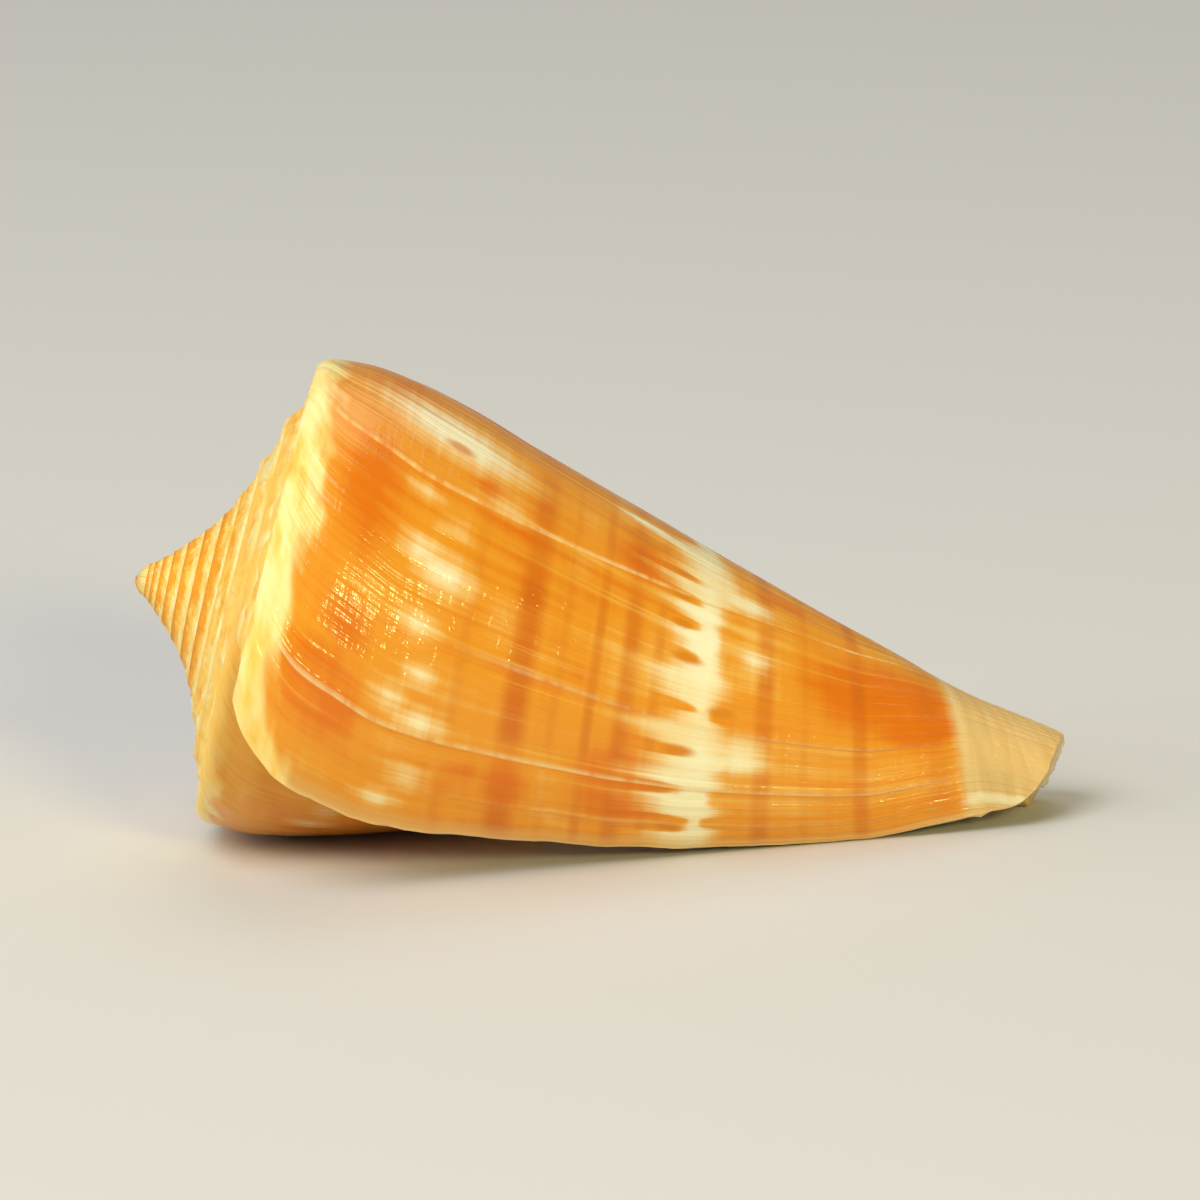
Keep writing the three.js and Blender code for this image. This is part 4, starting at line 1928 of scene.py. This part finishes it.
@dataclass
class ConeShell:
    """The whole shell, which is one grown piece."""

    rule: GrowthRule = field(default_factory=GrowthRule)
    relief: Relief = field(default_factory=Relief)
    markings: Markings = field(default_factory=Markings)
    finish: ShellFinish = field(default_factory=ShellFinish)
    rest_roll: float = -14.2
    rest_dip: float = 15.5
    crease: float = 50.0

    def build(self) -> bpy.types.Object:
        """Grows, marks and dresses the shell.

        Returns:
            The finished piece.
        """
        chart = GrowthChart(self.rule).mesh()
        shape = GrowthShape(self.rule, self.relief, self.rest_roll, self.rest_dip)
        mesh = shape.grow(chart, self.finish.dress())
        mesh.name = "shell_body"
        self.cut_to_triangles(mesh)
        turn, along = self.record_growth(mesh)
        self.markings.lay(mesh, turn, along)
        mesh.shade_smooth()
        mesh.set_sharp_from_angle(angle=math.radians(self.crease))
        piece = bpy.data.objects.new("shell_body", mesh)
        bpy.context.scene.collection.objects.link(piece)
        return piece

    @staticmethod
    def cut_to_triangles(mesh: bpy.types.Mesh) -> None:
        """Cuts every patch along its shorter diagonal.

        Args:
            mesh: the mesh.
        """
        work = bmesh.new()
        work.from_mesh(mesh)
        bmesh.ops.triangulate(work, faces=work.faces[:], quad_method="SHORT_EDGE")
        work.to_mesh(mesh)
        work.free()

    def record_growth(self, mesh: bpy.types.Mesh) -> tuple[np.ndarray, np.ndarray]:
        """Writes where each corner grew, with a ramp's inner edge counted as the ramp's own.

        Args:
            mesh: the grown mesh, in triangles.

        Returns:
            Each corner's angle, and its distance below the shoulder.
        """
        corners = np.empty(len(mesh.loops), dtype=np.int32)
        mesh.loops.foreach_get("vertex_index", corners)
        values = {}
        for name in ("turn", "along", "ramp"):
            points = np.empty(len(mesh.vertices), dtype=np.float32)
            mesh.attributes[name].data.foreach_get("value", points)
            values[name] = points[corners].reshape(-1, 3)
        turn, along, ramp = values.values()
        newest = turn.max(axis=1, keepdims=True)
        leaning = (turn < newest - TURN / 2) & (along < self.rule.corner_drop)
        turn = np.where(leaning, turn + self.rule.whole_lag, turn)
        along = np.where(leaning, -self.rule.corner_drop, along)
        ramp = np.where(leaning, 0.0, ramp)
        growth = np.stack([turn, along, ramp], axis=-1).astype(np.float32)
        layer = mesh.attributes.new("growth", "FLOAT_VECTOR", "CORNER")
        layer.data.foreach_set("vector", growth.ravel())
        return turn.ravel(), along.ravel()


# ---------------------------------------------------------------- the studio


@dataclass(frozen=True)
class Softbox:
    """A flat light that faces the shell from a direction."""

    name: str
    azimuth: float
    elevation: float
    distance: float
    width: float
    height: float
    power: float
    colour: tuple[float, float, float] = (1.0, 1.0, 1.0)

    def hang(self, target: Vector) -> None:
        """Hangs the light.

        Args:
            target: what it faces.
        """
        lamp = bpy.data.lights.new(self.name, "AREA")
        lamp.shape = "RECTANGLE"
        lamp.size = self.width
        lamp.size_y = self.height
        lamp.energy = self.power
        lamp.color = self.colour
        holder = bpy.data.objects.new(self.name, lamp)
        toward = bearing(self.azimuth, self.elevation)
        holder.location = target + toward * self.distance
        holder.rotation_euler = toward.to_track_quat("Z", "Y").to_euler()
        bpy.context.scene.collection.objects.link(holder)


def bearing(azimuth: float, elevation: float) -> Vector:
    """A direction out from the shell, from the front (-Y) round to its right, in degrees.

    Args:
        azimuth: how far round to the right.
        elevation: how far up.

    Returns:
        The direction, of length 1.
    """
    turn, rise = math.radians(azimuth), math.radians(elevation)
    level = math.cos(rise)
    return Vector((math.sin(turn) * level, -math.cos(turn) * level, math.sin(rise)))


@dataclass(frozen=True)
class Studio:
    """Plain pale floor, soft light and the camera."""

    floor_reach: float = 3.0
    floor_colour: Colour = (0.67, 0.66, 0.64, 1.0)
    floor_roughness: float = 0.9
    sky_colour: Colour = (0.86, 0.83, 0.79, 1.0)
    sky_strength: float = 0.22
    softboxes: tuple[Softbox, ...] = (
        Softbox("key_softbox", -40.0, 52.0, 0.75, 0.50, 0.50, 3.7),
        Softbox("small_softbox", 25.0, 23.0, 0.80, 0.14, 0.14, 2.8, (1.0, 0.87, 0.34)),
        Softbox("left_softbox", -82.0, 24.0, 0.80, 0.40, 0.40, 1.6),
        Softbox("back_softbox", 170.0, 60.0, 0.90, 0.60, 0.60, 1.6),
    )
    camera_azimuth: float = 3.87
    camera_elevation: float = 13.65
    camera_tilt: float = -3.0
    aim: Vector = field(default_factory=lambda: Vector((0.3 * MM, 0.0, -0.5 * MM)))
    lens: float = 300.0
    sensor: float = 36.0
    frame_width: float = 75.6
    nearest: float = 10.0

    def floor(self) -> bpy.types.Object:
        """Lays the floor.

        Returns:
            The floor.
        """
        reach = self.floor_reach
        mesh = bpy.data.meshes.new("studio_floor")
        corners = [(-reach, -reach, 0), (reach, -reach, 0), (reach, reach, 0), (-reach, reach, 0)]
        mesh.from_pydata(corners, [], [(0, 1, 2, 3)])
        material = bpy.data.materials.new("matt_floor")
        material.use_nodes = True
        surface = material.node_tree.nodes["Principled BSDF"]
        surface.inputs["Base Color"].default_value = self.floor_colour
        surface.inputs["Roughness"].default_value = self.floor_roughness
        mesh.materials.append(material)
        plane = bpy.data.objects.new("studio_floor", mesh)
        bpy.context.scene.collection.objects.link(plane)
        return plane

    def light(self, target: Vector) -> None:
        """Hangs the softboxes and sets the even light around them.

        Args:
            target: what the softboxes face.
        """
        for softbox in self.softboxes:
            softbox.hang(target)
        world = bpy.data.worlds.new("studio_air")
        world.use_nodes = True
        air = world.node_tree.nodes["Background"]
        air.inputs["Color"].default_value = self.sky_colour
        air.inputs["Strength"].default_value = self.sky_strength
        bpy.context.scene.world = world
        bpy.context.scene.view_settings.view_transform = "Standard"

    def camera(self, target: Vector) -> None:
        """Sets the camera up, looking at the middle of the shell.

        Args:
            target: the middle of the shell.
        """
        target = target + self.aim
        lens = bpy.data.cameras.new("studio_camera")
        lens.lens = self.lens
        lens.sensor_width = self.sensor
        lens.clip_start = self.nearest * MM
        holder = bpy.data.objects.new("studio_camera", lens)
        toward = bearing(self.camera_azimuth, self.camera_elevation)
        distance = self.frame_width * MM * self.lens / self.sensor
        turn = toward.to_track_quat("Z", "Y").to_matrix().to_4x4()
        roll = Matrix.Rotation(math.radians(self.camera_tilt), 4, "Z")
        holder.matrix_world = Matrix.Translation(target + toward * distance) @ turn @ roll
        bpy.context.scene.collection.objects.link(holder)
        bpy.context.scene.camera = holder


def main() -> None:
    """Builds the shell and the studio, and reports on the shell."""
    logging.basicConfig(level=logging.INFO, format="%(name)s: %(message)s")
    low, high = (Vector(corner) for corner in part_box("shell"))
    middle = (low + high) / 2
    studio = Studio()
    studio.camera(middle)
    shell = ConeShell().build()
    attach(shell, "root")
    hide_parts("shell")
    log.info("%s: %d triangles", shell.name, len(shell.data.polygons))
    studio.floor()
    studio.light(middle)


if __name__ == "__main__":
    main()
